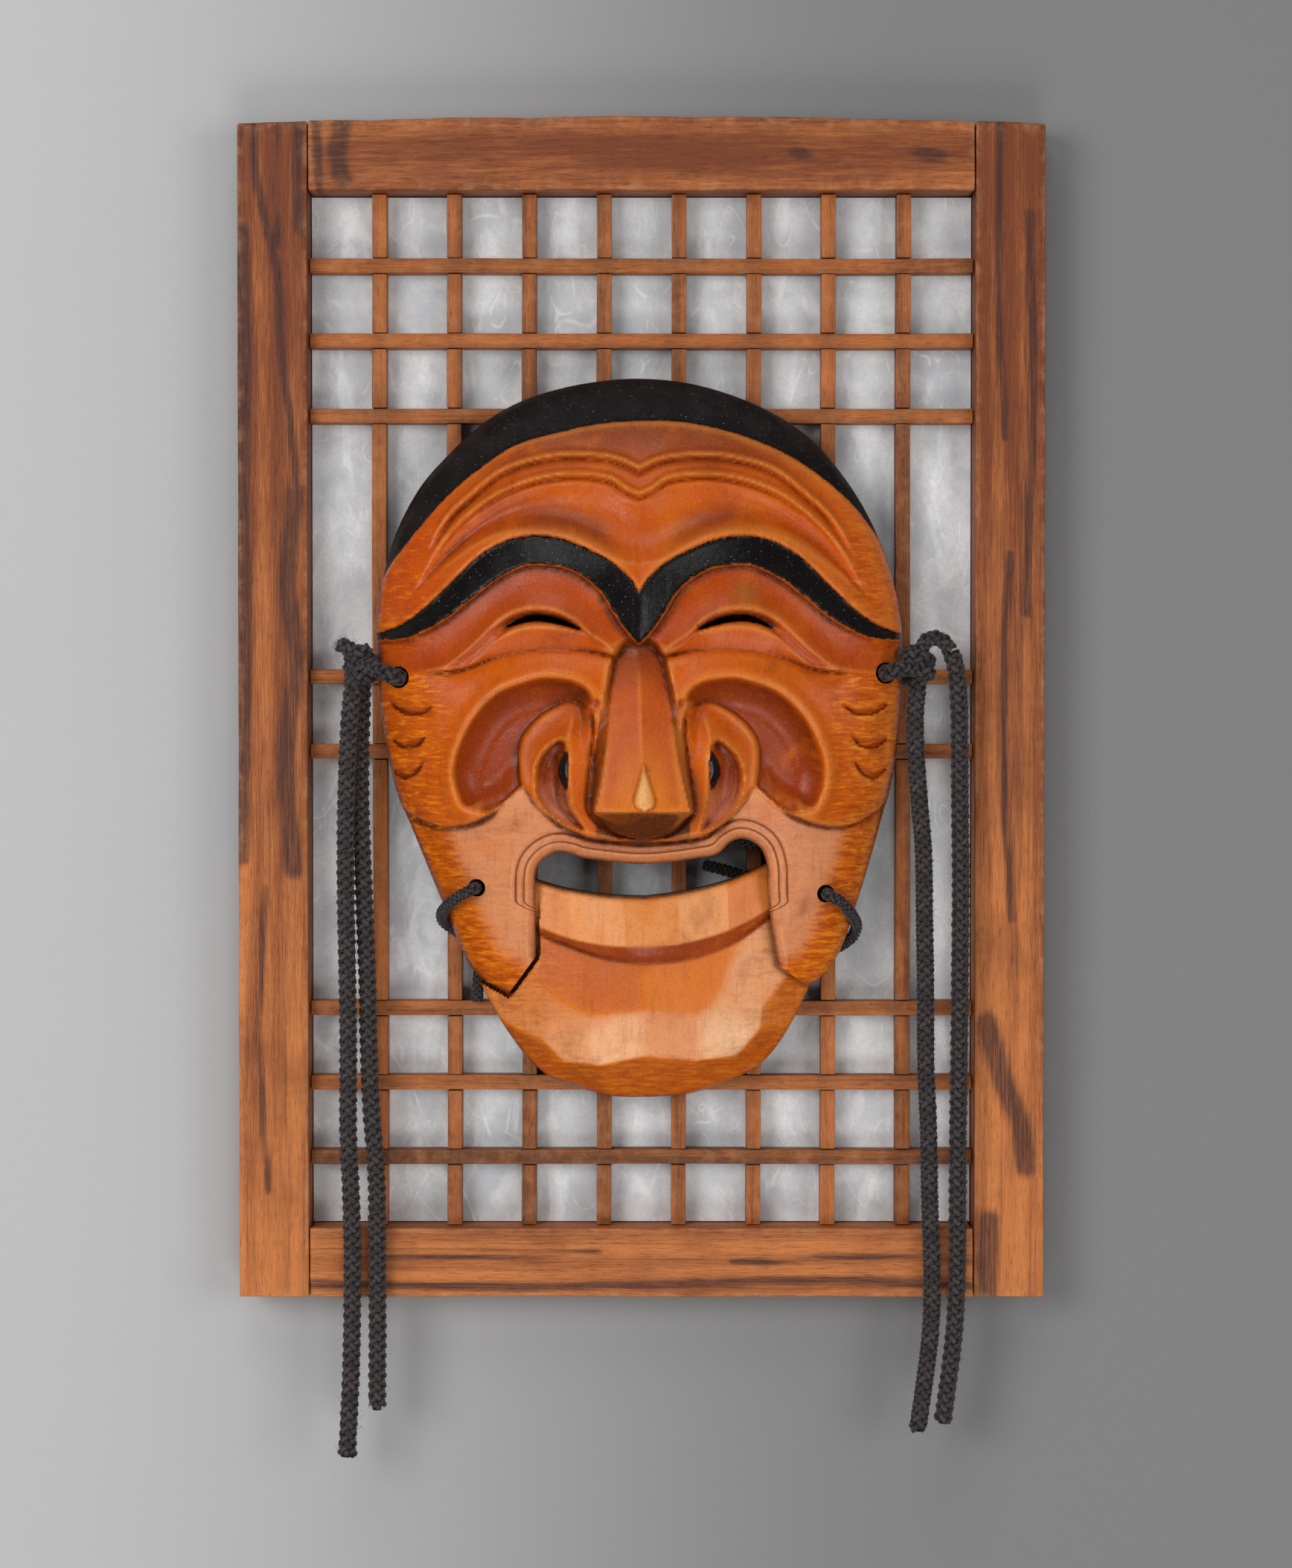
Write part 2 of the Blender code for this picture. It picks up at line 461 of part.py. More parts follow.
def mask_front(u, v):
    """Height of the carved face ahead of the rim plane, all in millimetres."""
    dome = mask_dome(u, v)
    flaps = np.minimum(dome, cut_flat(mask_dome, both_sides(FLAP_FACETS), u, v))
    low = past(-above(SMILE_LINE, np.abs(u - sway(v)), v))
    face = dome + low * (flaps - dome) + cheeks(u, v) + lips(u, v)
    face = face + np.where(v > -12, forehead(u, v) + brows_and_lids(u, v) * step(-4, 8, v), 0)
    face = with_nose(u, v, face)
    outer = distance(smooth_line(HEAD_EDGE, per_span=4), u, v)
    return face - 2.2 * (1 - np.clip(outer / 3.2, 0, 1)) ** 2


def mask_back(u, v):
    """Height of the hollow inside of the mask."""
    wall = CHEEK_WALL + (FOREHEAD_WALL - CHEEK_WALL) * step(-34, -22, v)
    rim = 7.5 * step(25, 72, -v)
    inner = np.maximum(mask_dome(u, v) - wall, rim)
    outer = distance(smooth_line(HEAD_EDGE, per_span=4), u, v)
    ring = step(-34, -24, v) * (1 - step(RIM_WIDTH, 2.4 * RIM_WIDTH, outer))
    return inner + (rim - inner) * ring


# Jaw
def jaw_to_mask(w, v):
    """Turn jaw-frame places to mask-frame places."""
    c, s = math.cos(JAW_TURN), math.sin(JAW_TURN)
    dw, dv = w, v - JAW_PIVOT[1]
    return JAW_PIVOT[0] + c * dw - s * dv, JAW_PIVOT[1] + JAW_RISE + s * dw + c * dv


def mask_to_jaw(u, v):
    c, s = math.cos(JAW_TURN), math.sin(JAW_TURN)
    du, dv = u - JAW_PIVOT[0], v - JAW_PIVOT[1] - JAW_RISE
    return c * du + s * dv, JAW_PIVOT[1] - s * du + c * dv


def jaw_dome(w, v):
    """Rounded chin below the lip."""
    reach = np.clip(np.abs(w) / value_on(JAW_HALF_WIDTH, v), 0, 1)
    edge = JAW_EDGE_HEIGHT + 2.0 * step(-68, -58, v)
    return edge + (value_on(JAW_MIDDLE, v) - edge) * (1 - reach ** 2.1) ** 0.8


def lip_dome(w, v):
    """Lower lip, a band bent round the teeth."""
    return LIP_HEIGHT - LIP_DROP * (w / 37) ** 2 - 0.05 * (v + 58)


def jaw_front(w, v):
    """Height of the jaw ahead of the rim plane, kept clear behind the cheek flaps."""
    chin = cut_flat(jaw_dome, both_sides(CHIN_FACETS), w, v)
    lip = cut_flat(lip_dome, [(place, -58) for place in LIP_FACETS], w, v)
    rise = above(LIP_BOTTOM, np.abs(w), v)
    reach = LIP_UNDERSIDE - 3.3 * np.clip((w - 8) / 34, -1, 1) ** 2
    slant = np.clip(1 + rise / reach, 0, 1)
    face = chin - 0.7 * bump(slant, 0.25) + (lip - chin) * slant
    face = np.maximum(face, 3.5)
    u, mask_v = jaw_to_mask(w, v)
    covered = depth_in(mask_outline(), u, mask_v) > -1.2
    limit = mask_back(u, mask_v) - JAW_CLEARANCE
    face = np.where(covered, np.minimum(face, limit), face)
    outer = distance(np.vstack((jaw_outline(), jaw_outline()[:1])), w, v)
    return face - 1.0 * (1 - np.clip(outer / 1.6, 0, 1)) ** 2


def jaw_back(w, v):
    outer = distance(np.vstack((jaw_outline(), jaw_outline()[:1])), w, v)
    inner = np.clip(jaw_dome(w, v) - JAW_WALL, 0, None)
    inner = np.minimum(inner, np.maximum(jaw_front(w, v) - 3.0, 0)) * step(4, 9, outer)
    return np.maximum(inner, JAW_EAR_LIFT * step(-66, -58, v))


# Scene helpers
def clear_scene():
    for item in list(bpy.data.objects):
        bpy.data.objects.remove(item, do_unlink=True)


def collection(name):
    made = bpy.data.collections.new(name)
    bpy.context.scene.collection.children.link(made)
    return made


def material(name, colour, roughness, metallic=0.0):
    made = bpy.data.materials.new(name)
    made.use_nodes = True
    shader = made.node_tree.nodes["Principled BSDF"]
    shader.inputs["Base Color"].default_value = (*colour, 1)
    shader.inputs["Roughness"].default_value = roughness
    shader.inputs["Metallic"].default_value = metallic
    return made


def finish(item, into, surface):
    """Put an object in its collection with its material."""
    for home in list(item.users_collection):
        home.objects.unlink(item)
    into.objects.link(item)
    item.data.materials.clear()
    item.data.materials.append(surface)
    return item


def box(name, low, high, into, surface, edge=0.0):
    """Box between two corners, its edges rounded by a bevel."""
    low, high = Vector(low), Vector(high)
    bpy.ops.mesh.primitive_cube_add(size=1, location=(low + high) / 2)
    item = bpy.context.object
    item.name = name
    item.data.name = name
    item.data.transform(Matrix.Diagonal((*(high - low), 1)))
    if edge:
        bevel = item.modifiers.new("rounded edges", "BEVEL")
        bevel.width = edge
        bevel.segments = 2
    return finish(item, into, surface)


def tube(name, points, diameter, into, surface, resolution=2):
    """Round cord along a list of points."""
    data = bpy.data.curves.new(name, "CURVE")
    data.dimensions = "3D"
    data.bevel_depth = diameter / 2
    data.bevel_resolution = resolution
    data.use_fill_caps = True
    spline = data.splines.new("POLY")
    spline.points.add(len(points) - 1)
    for slot, place in zip(spline.points, points):
        slot.co = (*place, 1)
    return finish(bpy.data.objects.new(name, data), into, surface)


def solid_of(item):
    """Turn a curve object into a mesh object of the same name, its caps welded."""
    bpy.context.view_layer.update()
    name, place = item.name, item.matrix_world.copy()
    shown = item.evaluated_get(bpy.context.evaluated_depsgraph_get())
    mesh = bpy.data.meshes.new_from_object(shown)
    bpy.data.objects.remove(item)
    work = bmesh.new()
    work.from_mesh(mesh)
    bmesh.ops.remove_doubles(work, verts=work.verts, dist=1e-6)
    work.to_mesh(mesh)
    work.free()
    made = bpy.data.objects.new(name, mesh)
    made.matrix_world = place
    return made


def joined(base, extras):
    """Boolean union of base with each of extras, made real."""
    for extra in extras:
        union = base.modifiers.new("joined strand", "BOOLEAN")
        union.operation = "UNION"
        union.object = extra
        union.solver = "EXACT"
    return base


# Frame, lattice and paper
def top_edge(x):
    """The frame's top edge is a shallow bow."""
    return FRAME_TOP - FRAME_TOP_BOW * (x / FRAME_HALF_WIDTH) ** 2


def build_frame(into, wood):
    for side, name in ((-1, "stile_left"), (1, "stile_right")):
        inner, outer = side * OPENING_HALF_WIDTH, side * FRAME_HALF_WIDTH
        stile = box(name, (min(inner, outer), -FRAME_DEPTH, FRAME_BOTTOM),
                    (max(inner, outer), 0, 0), into, wood, FRAME_EDGE)
        raise_top(stile)
    half = OPENING_HALF_WIDTH - GAP
    rail = box("rail_top", (-half, -FRAME_DEPTH, OPENING_TOP), (half, 0, 0), into, wood)
    cut_across(rail, 10)
    raise_top(rail)
    box("rail_bottom", (-half, -FRAME_DEPTH, FRAME_BOTTOM), (half, 0, OPENING_BOTTOM), into, wood)


def cut_across(item, pieces):
    """Cut a box along X so that its top can bow."""
    work = bmesh.new()
    work.from_mesh(item.data)
    long_edges = [e for e in work.edges
                  if abs(e.verts[0].co.x - e.verts[1].co.x) > abs(e.verts[0].co.z - e.verts[1].co.z)
                  and abs(e.verts[0].co.y - e.verts[1].co.y) < 1e-6]
    bmesh.ops.subdivide_edges(work, edges=long_edges, cuts=pieces - 1, use_grid_fill=True)
    work.to_mesh(item.data)
    work.free()


def raise_top(item):
    """Lift the vertices at the top of a frame member to the bowed edge."""
    at = item.location
    high = max(v.co.z for v in item.data.vertices)
    for vertex in item.data.vertices:
        if vertex.co.z > high - 1e-6:
            vertex.co.z = top_edge(vertex.co.x + at.x) - at.z


def bar_profile(start, end, crossings, notch_low, notch_high, low, high):
    """Side outline of a bar with a notch at each crossing, as (along, ahead)."""
    reach = BAR_WIDTH / 2 + GAP
    points = [(start, low)]
    edge, cut = (low, notch_high) if notch_low is None else (high, notch_low)
    run = []
    for place in crossings:
        run += [(place - reach, edge), (place - reach, cut), (place + reach, cut), (place + reach, edge)]
    if edge == low:
        points += run + [(end, low), (end, high), (start, high)]
    else:
        points += [(end, low), (end, high)] + run[::-1] + [(start, high)]
    return points


def flat_outline(name, points, thickness, into, surface):
    data = bpy.data.curves.new(name, "CURVE")
    data.dimensions = "2D"
    data.fill_mode = "BOTH"
    data.extrude = thickness / 2
    spline = data.splines.new("POLY")
    spline.points.add(len(points) - 1)
    for slot, (x, y) in zip(spline.points, points):
        slot.co = (x, y, 0, 1)
    spline.use_cyclic_u = True
    return finish(bpy.data.objects.new(name, data), into, surface)


def bar_places():
    across = [(i - (VERTICAL_BARS - 1) / 2) * BAR_PITCH for i in range(VERTICAL_BARS)]
    up = [top - i * BAR_PITCH for top, count in zip(GROUP_TOPS, GROUP_SIZES) for i in range(count)]
    return across, up


def build_lattice(into, wood):
    """Half-lapped bars: the level bars run over the upright ones."""
    across, up = bar_places()
    middle = (BAR_FRONT + BAR_BACK) / 2
    half = OPENING_HALF_WIDTH - GAP
    for number, z in enumerate(up, 1):
        profile = bar_profile(-half, half, across, None, -middle - GAP / 2, -BAR_BACK, -BAR_FRONT)
        bar = flat_outline(f"lattice_level_{number}", profile, BAR_WIDTH, into, wood)
        bar.location = (0, 0, z)
    low, high = OPENING_BOTTOM + GAP, OPENING_TOP - GAP
    for number, x in enumerate(across, 1):
        profile = bar_profile(low, high, sorted(up), -middle + GAP / 2, None, -BAR_BACK, -BAR_FRONT)
        bar = flat_outline(f"lattice_upright_{number}", profile, BAR_WIDTH, into, wood)
        bar.location = (x, 0, 0)
        bar.rotation_euler = (0, -math.pi / 2, 0)


def build_paper(into, paper):
    half, front = OPENING_HALF_WIDTH - GAP, BAR_BACK - GAP
    box("mulberry_paper", (-half, -front, OPENING_BOTTOM + GAP),
        (half, -front + PAPER_THICKNESS, OPENING_TOP - GAP), into, paper)


# Carved shells
def drop_pinched(work):
    """Remove vertices where a flat sheet touches itself at a point, and what they leave loose."""
    pinched = True
    while pinched:
        pinched = [v for v in work.verts if sum(e.is_boundary for e in v.link_edges) > 2]
        bmesh.ops.delete(work, geom=pinched, context="VERTS")
        bmesh.ops.delete(work, geom=[e for e in work.edges if not e.link_faces], context="EDGES")
        bmesh.ops.delete(work, geom=[v for v in work.verts if not v.link_faces], context="VERTS")


def trimmed_grid(outline, holes, spacing):
    """Square grid cut back to an outline and holes, its edge drawn onto them."""
    low, high = outline.min(0) - spacing, outline.max(0) + spacing
    counts = np.ceil((high - low) / spacing).astype(int)
    work = bmesh.new()
    bmesh.ops.create_grid(work, x_segments=int(counts[0]), y_segments=int(counts[1]), size=0.5)
    size = counts * spacing
    for vertex in work.verts:
        vertex.co.x = low[0] + (vertex.co.x + 0.5) * size[0]
        vertex.co.y = low[1] + (vertex.co.y + 0.5) * size[1]
    middles = np.array([face.calc_center_median()[:2] for face in work.faces])
    keep = within(outline, middles[:, 0], middles[:, 1])
    for hole in holes:
        keep &= ~within(hole, middles[:, 0], middles[:, 1])
    bmesh.ops.delete(work, geom=[f for f, k in zip(work.faces[:], keep) if not k], context="FACES")
    drop_pinched(work)
    loops = [outline, *holes]
    starts = np.vstack(loops)
    ends = np.vstack([np.roll(loop, -1, axis=0) for loop in loops])
    for vertex in work.verts:
        if vertex.is_boundary:
            at = np.array(vertex.co[:2])
            run = ends - starts
            t = np.clip(((at - starts) * run).sum(1) / np.maximum((run * run).sum(1), 1e-12), 0, 1)
            near = starts + run * t[:, None]
            best = near[np.argmin(((near - at) ** 2).sum(1))]
            vertex.co.x, vertex.co.y = best
    bmesh.ops.remove_doubles(work, verts=work.verts, dist=0.3 * spacing)
    drop_pinched(work)
    return work


def carved_shell(name, outline, holes, front, back, place, keep, into, surface):
    """Closed shell between a front and a back height over an outline."""
    work = trimmed_grid(outline, holes, GRID_STEP)
    made = bmesh.ops.extrude_face_region(work, geom=work.faces[:], use_keep_orig=True)
    lifted = {item for item in made["geom"] if isinstance(item, bmesh.types.BMVert)}
    flat = np.array([vertex.co[:2] for vertex in work.verts])
    ahead = front(flat[:, 0], flat[:, 1])
    behind = back(flat[:, 0], flat[:, 1])
    across, up = place(flat[:, 0], flat[:, 1])
    for i, vertex in enumerate(work.verts):
        height = ahead[i] if vertex in lifted else behind[i]
        vertex.co = (MASK_X + across[i] * MM, -RIM_DEPTH - height * MM, MASK_Z + up[i] * MM)
    bmesh.ops.recalc_face_normals(work, faces=work.faces[:])
    mesh = bpy.data.meshes.new(name)
    work.to_mesh(mesh)
    work.free()
    item = finish(bpy.data.objects.new(name, mesh), into, surface)
    thin = item.modifiers.new("fewer faces", "DECIMATE")
    thin.ratio = keep
    return item


def build_mask(into, wood):
    holes = [circle(at, EAR_HOLE_RADIUS) for at in EAR_HOLES]
    holes += [circle(at, TIE_HOLE_RADIUS) for at in TIE_HOLES]
    for side in (-1, 1):
        holes.append(mirrored(smooth_line(EYE_SLIT, closed=True, per_span=4), side))
        holes.append(mirrored(smooth_line(NOSTRIL_SLIT, closed=True, per_span=4), side))
    carved_shell("upper_mask", mask_outline(), holes, mask_front, mask_back,
                 lambda u, v: (u, v), MASK_KEEP, into, wood)


def build_jaw(into, wood):
    holes = [circle(mask_to_jaw(*at), JAW_HOLE_RADIUS) for at in TIE_HOLES]
    carved_shell("jaw", jaw_outline(), holes, jaw_front, jaw_back, jaw_to_mask, JAW_KEEP, into, wood)


# Cords
def in_world(u, v, height):
    """Mask-frame place in millimetres to metres in the world."""
    return (MASK_X + u * MM, -RIM_DEPTH - height * MM, MASK_Z + v * MM)


def route_points(route, spacing):
    """Evenly spaced points on a smooth curve through a route in millimetres."""
    line = smooth_line(route, per_span=12) * MM
    lengths = np.concatenate(([0], np.cumsum(np.linalg.norm(np.diff(line, axis=0), axis=1))))
    count = max(4, int(round(lengths[-1] / spacing)))
    at = np.linspace(0, lengths[-1], count + 1)
    return np.column_stack([np.interp(at, lengths, line[:, k]) for k in range(3)])


def build_cords(into, black):
    for name, route in CORD_ROUTES.items():
        ahead = [(x, -d, z) for x, z, d in route]
        tube(name, route_points(ahead, CORD_POINT_SPACING), CORD_DIAMETER, into, black)


def on_face(route, diameter):
    """World points of a tie; a missing height is laid on the carved face."""
    rest = diameter / MM / 2 + 0.45
    points = []
    for u, v, height in route:
        if height is None:
            around = [(u + du, v + dv) for du in (-2, 0, 2) for dv in (-2, 0, 2)]
            near = np.array(around, dtype=float)
            height = mask_front(near[:, 0], near[:, 1]).max() + rest
        points.append((u, v, height))
    return points


def tie_tube(name, route, into, surface):
    line = route_points(on_face(route, TIE_DIAMETER), TIE_POINT_SPACING)
    places = [in_world(x / MM, y / MM, z / MM) for x, y, z in line]
    return tube(name, places, TIE_DIAMETER, into, surface)


def build_ties(into, helpers, black):
    tie_tube("jaw_tie_left", TIE_LEFT, into, black)
    base = finish(solid_of(tie_tube("jaw_tie_right", TIE_RIGHT, into, black)), into, black)
    tail = solid_of(tie_tube("tie_tail", TIE_RIGHT_TAIL, helpers, black))
    helper(tail, helpers)
    joined(base, [tail])


def helper(item, helpers):
    """Keep a shape used by a modifier out of the finished part."""
    for home in list(item.users_collection):
        home.objects.unlink(item)
    helpers.objects.link(item)
    item.hide_render = True
    item.display_type = "WIRE"


def wall_place(point):
    x, z, ahead = point
    return Vector((x * MM, -ahead * MM, z * MM))


def build_knots(into, helpers, black):
    """Knot beside each ear: its lump, the strand through the ear and its end."""
    for name, knot in KNOTS.items():
        bpy.ops.mesh.primitive_uv_sphere_add(segments=12, ring_count=8, radius=1)
        lump = finish(bpy.context.object, into, black)
        lump.name = name
        for vertex in lump.data.vertices:
            vertex.co = [c * size * MM for c, size in zip(vertex.co, KNOT_SIZE)]
        lump.location = wall_place(knot["centre"])
        strands = []
        for label in ("strand", "end"):
            line = route_points([(x, -d, z) for x, z, d in knot[label]], STRAND_POINT_SPACING)
            strand = solid_of(tube(f"{name}_{label}", line, STRAND_DIAMETER, helpers, black))
            helper(strand, helpers)
            strands.append(strand)
        joined(lump, strands)


def main():
    clear_scene()
    parts = collection("hahoe_mask_plaque")
    helpers = collection("helper_shapes")
    frame_wood = material("frame wood", (0.27, 0.13, 0.06), 0.5)
    lattice_wood = material("lattice wood", (0.23, 0.11, 0.05), 0.55)
    mask_wood = material("varnished mask wood", (0.55, 0.19, 0.04), 0.3)
    paper = material("mulberry paper", (0.66, 0.69, 0.72), 0.85)
    cord_black = material("charcoal cord", (0.04, 0.038, 0.038), 0.95)
    build_frame(parts, frame_wood)
    build_lattice(parts, lattice_wood)
    build_paper(parts, paper)
    build_mask(parts, mask_wood)
    build_jaw(parts, mask_wood)
    build_ties(parts, helpers, cord_black)
    build_knots(parts, helpers, cord_black)
    build_cords(parts, cord_black)


main()
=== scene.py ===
"""Looks of the hahoe mask plaque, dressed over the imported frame.

Every piece is in metres in the row frame: +Z up, front towards -Y, and the
origin on the wall behind the top rail. The carving is worked out from the same
outlines and profiles as the solids, on a finer grid.
"""
import json
import math

import bmesh
import bpy
import numpy as np
from bpy.props import FloatProperty, FloatVectorProperty, IntProperty, PointerProperty
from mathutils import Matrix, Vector

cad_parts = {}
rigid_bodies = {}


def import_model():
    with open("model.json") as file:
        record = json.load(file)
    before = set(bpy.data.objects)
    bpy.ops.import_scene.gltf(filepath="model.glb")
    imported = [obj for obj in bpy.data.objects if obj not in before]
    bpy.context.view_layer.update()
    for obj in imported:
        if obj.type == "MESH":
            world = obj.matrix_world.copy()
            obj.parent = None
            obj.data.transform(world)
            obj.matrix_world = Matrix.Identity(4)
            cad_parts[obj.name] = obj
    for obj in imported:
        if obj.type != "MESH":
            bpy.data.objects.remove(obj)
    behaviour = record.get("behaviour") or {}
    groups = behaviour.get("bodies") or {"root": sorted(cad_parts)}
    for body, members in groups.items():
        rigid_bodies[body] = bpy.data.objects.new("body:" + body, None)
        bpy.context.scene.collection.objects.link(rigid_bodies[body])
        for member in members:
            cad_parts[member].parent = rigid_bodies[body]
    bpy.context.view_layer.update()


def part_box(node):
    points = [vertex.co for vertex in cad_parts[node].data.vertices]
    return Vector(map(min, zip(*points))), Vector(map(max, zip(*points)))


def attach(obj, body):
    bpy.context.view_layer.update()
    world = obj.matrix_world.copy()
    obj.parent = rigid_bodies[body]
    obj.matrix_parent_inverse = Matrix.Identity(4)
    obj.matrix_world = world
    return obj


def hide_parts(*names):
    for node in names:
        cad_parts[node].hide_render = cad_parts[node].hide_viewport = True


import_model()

bl_info = {
    "name": "Hahoe mask plaque",
    "version": (1, 0, 0),
    "blender": (4, 5, 0),
    "location": "View3D > Sidebar > Mask Plaque",
    "description": "Dresses a framed folk-theatre mask: carving, lattice, paper and plaited cords",
    "category": "Object",
}

MM = 0.001

# Camera and stage
AIM = (1.5 * MM, 0.0, -206.0 * MM)
CAMERA_DISTANCE = 1.2
CAMERA_RISE = math.radians(1.2)
VIEW_HEIGHT = 516.0 * MM
VIEW_PLANE = 18.0 * MM
WALL_GAP = 1.5 * MM

# Frame and lattice, as in the solids
GAP = 0.3 * MM
FRAME_TOP = 13.5 * MM
FRAME_TOP_BOW = 2.3 * MM
FRAME_HALF_WIDTH = 132.7 * MM
OPENING_HALF_WIDTH = 109.7 * MM
OPENING_TOP = -11.0 * MM
OPENING_BOTTOM = -352.2 * MM
BAR_WIDTH = 4.8 * MM
BAR_FRONT = 12.0 * MM
BAR_BACK = 4.0 * MM
BAR_PITCH = 24.7 * MM
VERTICAL_BARS = 8
GROUP_TOPS = (-34.8 * MM, -170.3 * MM, -280.0 * MM)
GROUP_SIZES = (3, 2, 3)

# Mask placing: its rim lies on the lattice
RIM_DEPTH = BAR_FRONT + GAP
MASK_X = -0.7 * MM
MASK_Z = -192.8 * MM

# Mask section, in millimetres ahead of the rim
EDGE_HEIGHT = 12.0
FOREHEAD_WALL = 13.0
CHEEK_WALL = 9.5
RIM_WIDTH = 5.0
FLAP_DROP = -3.8
NOSE_LEAN = 1.2
NOSE_ROOF = 1.2
NOSE_TIP = -20.6
PIP_RISE = 2.2
HOLLOW_DEPTH = 9.2
HOLLOW_REACH = 11.0
EAR_HOLE_RADIUS = 3.5
TIE_HOLE_RADIUS = 2.9
JAW_HOLE_RADIUS = 3.5
EAR_HOLES = ((-77.9, 22.1), (80.0, 23.5))
TIE_HOLES = ((-52.7, -46.1), (60.5, -48.0))

# Jaw placing: it hangs turned a little about a point below the lip
JAW_TURN = math.radians(2.4)
JAW_PIVOT = (1.8, -48.0)
JAW_RISE = 1.0
JAW_EDGE_HEIGHT = 7.0
JAW_WALL = 7.0
JAW_CLEARANCE = 1.0
JAW_EAR_LIFT = 5.6

# Softness of a carved step, in millimetres: crisper than in the solids
STEP_SOFTNESS = 0.5

# Outlines of the mask in millimetres from its middle, seen from the front
HEAD_EDGE = (
    (-42.8, -81.1), (-53.3, -75.0), (-58.8, -65.7), (-67.7, -44.1), (-73.8, -28.9),
    (-79.1, -15.4), (-83.0, 2.0), (-85.3, 20.0), (-86.0, 34.0), (-84.6, 50.0),
    (-80.5, 67.5), (-72.3, 83.7), (-62.0, 95.7), (-51.2, 105.4), (-39.0, 112.5),
    (-24.6, 117.0), (-9.0, 119.5), (4.0, 119.8), (18.0, 118.0), (32.0, 113.8),
    (46.4, 107.1), (57.6, 98.7), (67.0, 87.5), (75.0, 74.5), (81.0, 60.0),
    (84.7, 44.8), (86.0, 32.0), (85.7, 18.0), (85.0, 5.0), (83.2, -10.2),
    (79.4, -25.0), (73.9, -43.6), (70.2, -54.7), (66.5, -65.5), (61.0, -74.3),
    (54.9, -78.4),
)
MOUTH_EDGE = (
    (45.1, -71.1), (42.5, -55.6), (41.6, -46.7), (41.4, -39.5), (39.8, -34.0),
    (36.6, -31.0), (32.6, -29.9), (28.9, -31.4), (25.0, -34.9), (18.6, -36.2),
    (9.0, -37.5), (0.0, -38.0), (-9.0, -37.3), (-18.0, -36.1), (-22.0, -34.8),
    (-26.5, -34.4), (-30.6, -36.4), (-33.1, -39.8), (-33.7, -45.3), (-33.6, -55.6),
    (-33.6, -68.4),
)

# Carved lines of the right half, (across, up) in millimetres
HAIRLINE = (
    (-90.0, 44.0), (-82.8, 56.1), (-72.3, 69.3), (-61.3, 81.3), (-50.2, 90.4),
    (-40.0, 97.0), (-27.9, 100.6), (-11.3, 104.1), (7.6, 104.9), (19.8, 103.6),
    (33.1, 100.2), (45.3, 95.3), (56.4, 88.7), (67.4, 79.9), (76.0, 70.0), (90.0, 52.0),
)
UPPER_RIDGE = ((0, 89.4), (5.5, 92.0), (12, 93.5), (24, 94), (36, 92), (45, 88.5), (54, 81.5),
               (62, 74), (70, 62), (80, 44))
LOWER_RIDGE = ((0, 80.9), (4, 82.6), (9, 86), (17, 87.4), (26, 87.3), (36, 85.2), (46, 81),
               (55, 74.5), (62, 67.5), (68.5, 59.5), (80, 44))
BROW_LIP = ((0, 58.1), (8, 59.8), (15.7, 64.3), (24.6, 68.1), (36.8, 69.2), (50, 65.9),
            (64.5, 56), (76, 45), (88, 38))
BROW_TOP = ((0, 48.9), (2.9, 53.6), (8.8, 58.8), (16.4, 62.9), (25.2, 66.3), (34, 67.3),
            (42.2, 65.9), (50.4, 61.6), (57.4, 55.4), (65.1, 47.9), (71.5, 42.6), (77.9, 38.9),
            (86, 36.3), (90, 35.8))
BROW_BOTTOM = ((0, 32.3), (4.7, 37.6), (8.8, 43.8), (11.7, 48.6), (16.4, 53.2), (22.3, 56.5),
               (28.1, 57.8), (34, 58.1), (38.1, 57.2), (45.7, 53.4), (53.9, 47.2), (61.5, 41.2),
               (69.1, 37), (76.2, 34.6), (86, 34.3), (90, 34.2))
LID_RIDGE = ((0, 27.5), (5.9, 29.5), (10.6, 32.5), (15.8, 36), (20.5, 39.8), (25.8, 42.7),
             (31.7, 44), (36.9, 43.6), (42.2, 41.6), (46.9, 38.3), (51.6, 33.7), (56.3, 29.5),
             (61.5, 26.3), (67.4, 24.8), (74.7, 24.3), (90, 26))
LOWER_LID = ((0, 27), (11.1, 30.4), (19.4, 36.3), (25.8, 38), (32.2, 38.5), (38.1, 37.8),
             (43.4, 35.4), (48, 31.9), (52.5, 27.8), (58, 25.2), (74.7, 23.8), (90, 25))
UNDER_EYE = ((0, 26.5), (6.1, 28.1), (11.1, 29.3), (19.4, 30.4), (28.1, 30.7), (36.9, 30.1),
             (45.7, 28.1), (53.9, 25.5), (63.3, 24), (74.7, 23.3), (90, 24))
EYE_SLIT = ((18.8, 37.3), (25.2, 40.6), (31.7, 42.0), (37.2, 41.2), (42.8, 38.0), (37.2, 39.5),
            (31.7, 40.0), (25.2, 38.9))
CHEEK_HOLLOW = ((14.1, 10.9), (14.9, 15.5), (17, 18.7), (20.5, 20.7), (25.2, 21.7), (31.1, 21.9),
                (36.9, 20.5), (43.4, 18), (48.6, 14.2), (53.3, 8.9), (56.8, 2.7), (59.2, -3.8),
                (59.8, -9.7), (58.6, -15.5), (55.7, -20.4), (48.1, -21.2), (42.2, -17.6),
                (37.5, -13.2))
WING = ((37.5, -13.6), (38.5, -7), (38.6, -1), (36.9, 4), (31.7, 9.6), (24.6, 13.8),
        (20.5, 14.3), (17, 12.9), (14.6, 10), (14.2, 5), (14.9, -1), (15.8, -9.7),
        (16.5, -17.3), (15.6, -22), (10, -27.4), (3, -29.6), (0, -30), (0, -31), (8, -30.6),
        (16.4, -29.6), (25.8, -25.2), (34, -17.3))
WING_RIM_POINTS = 9
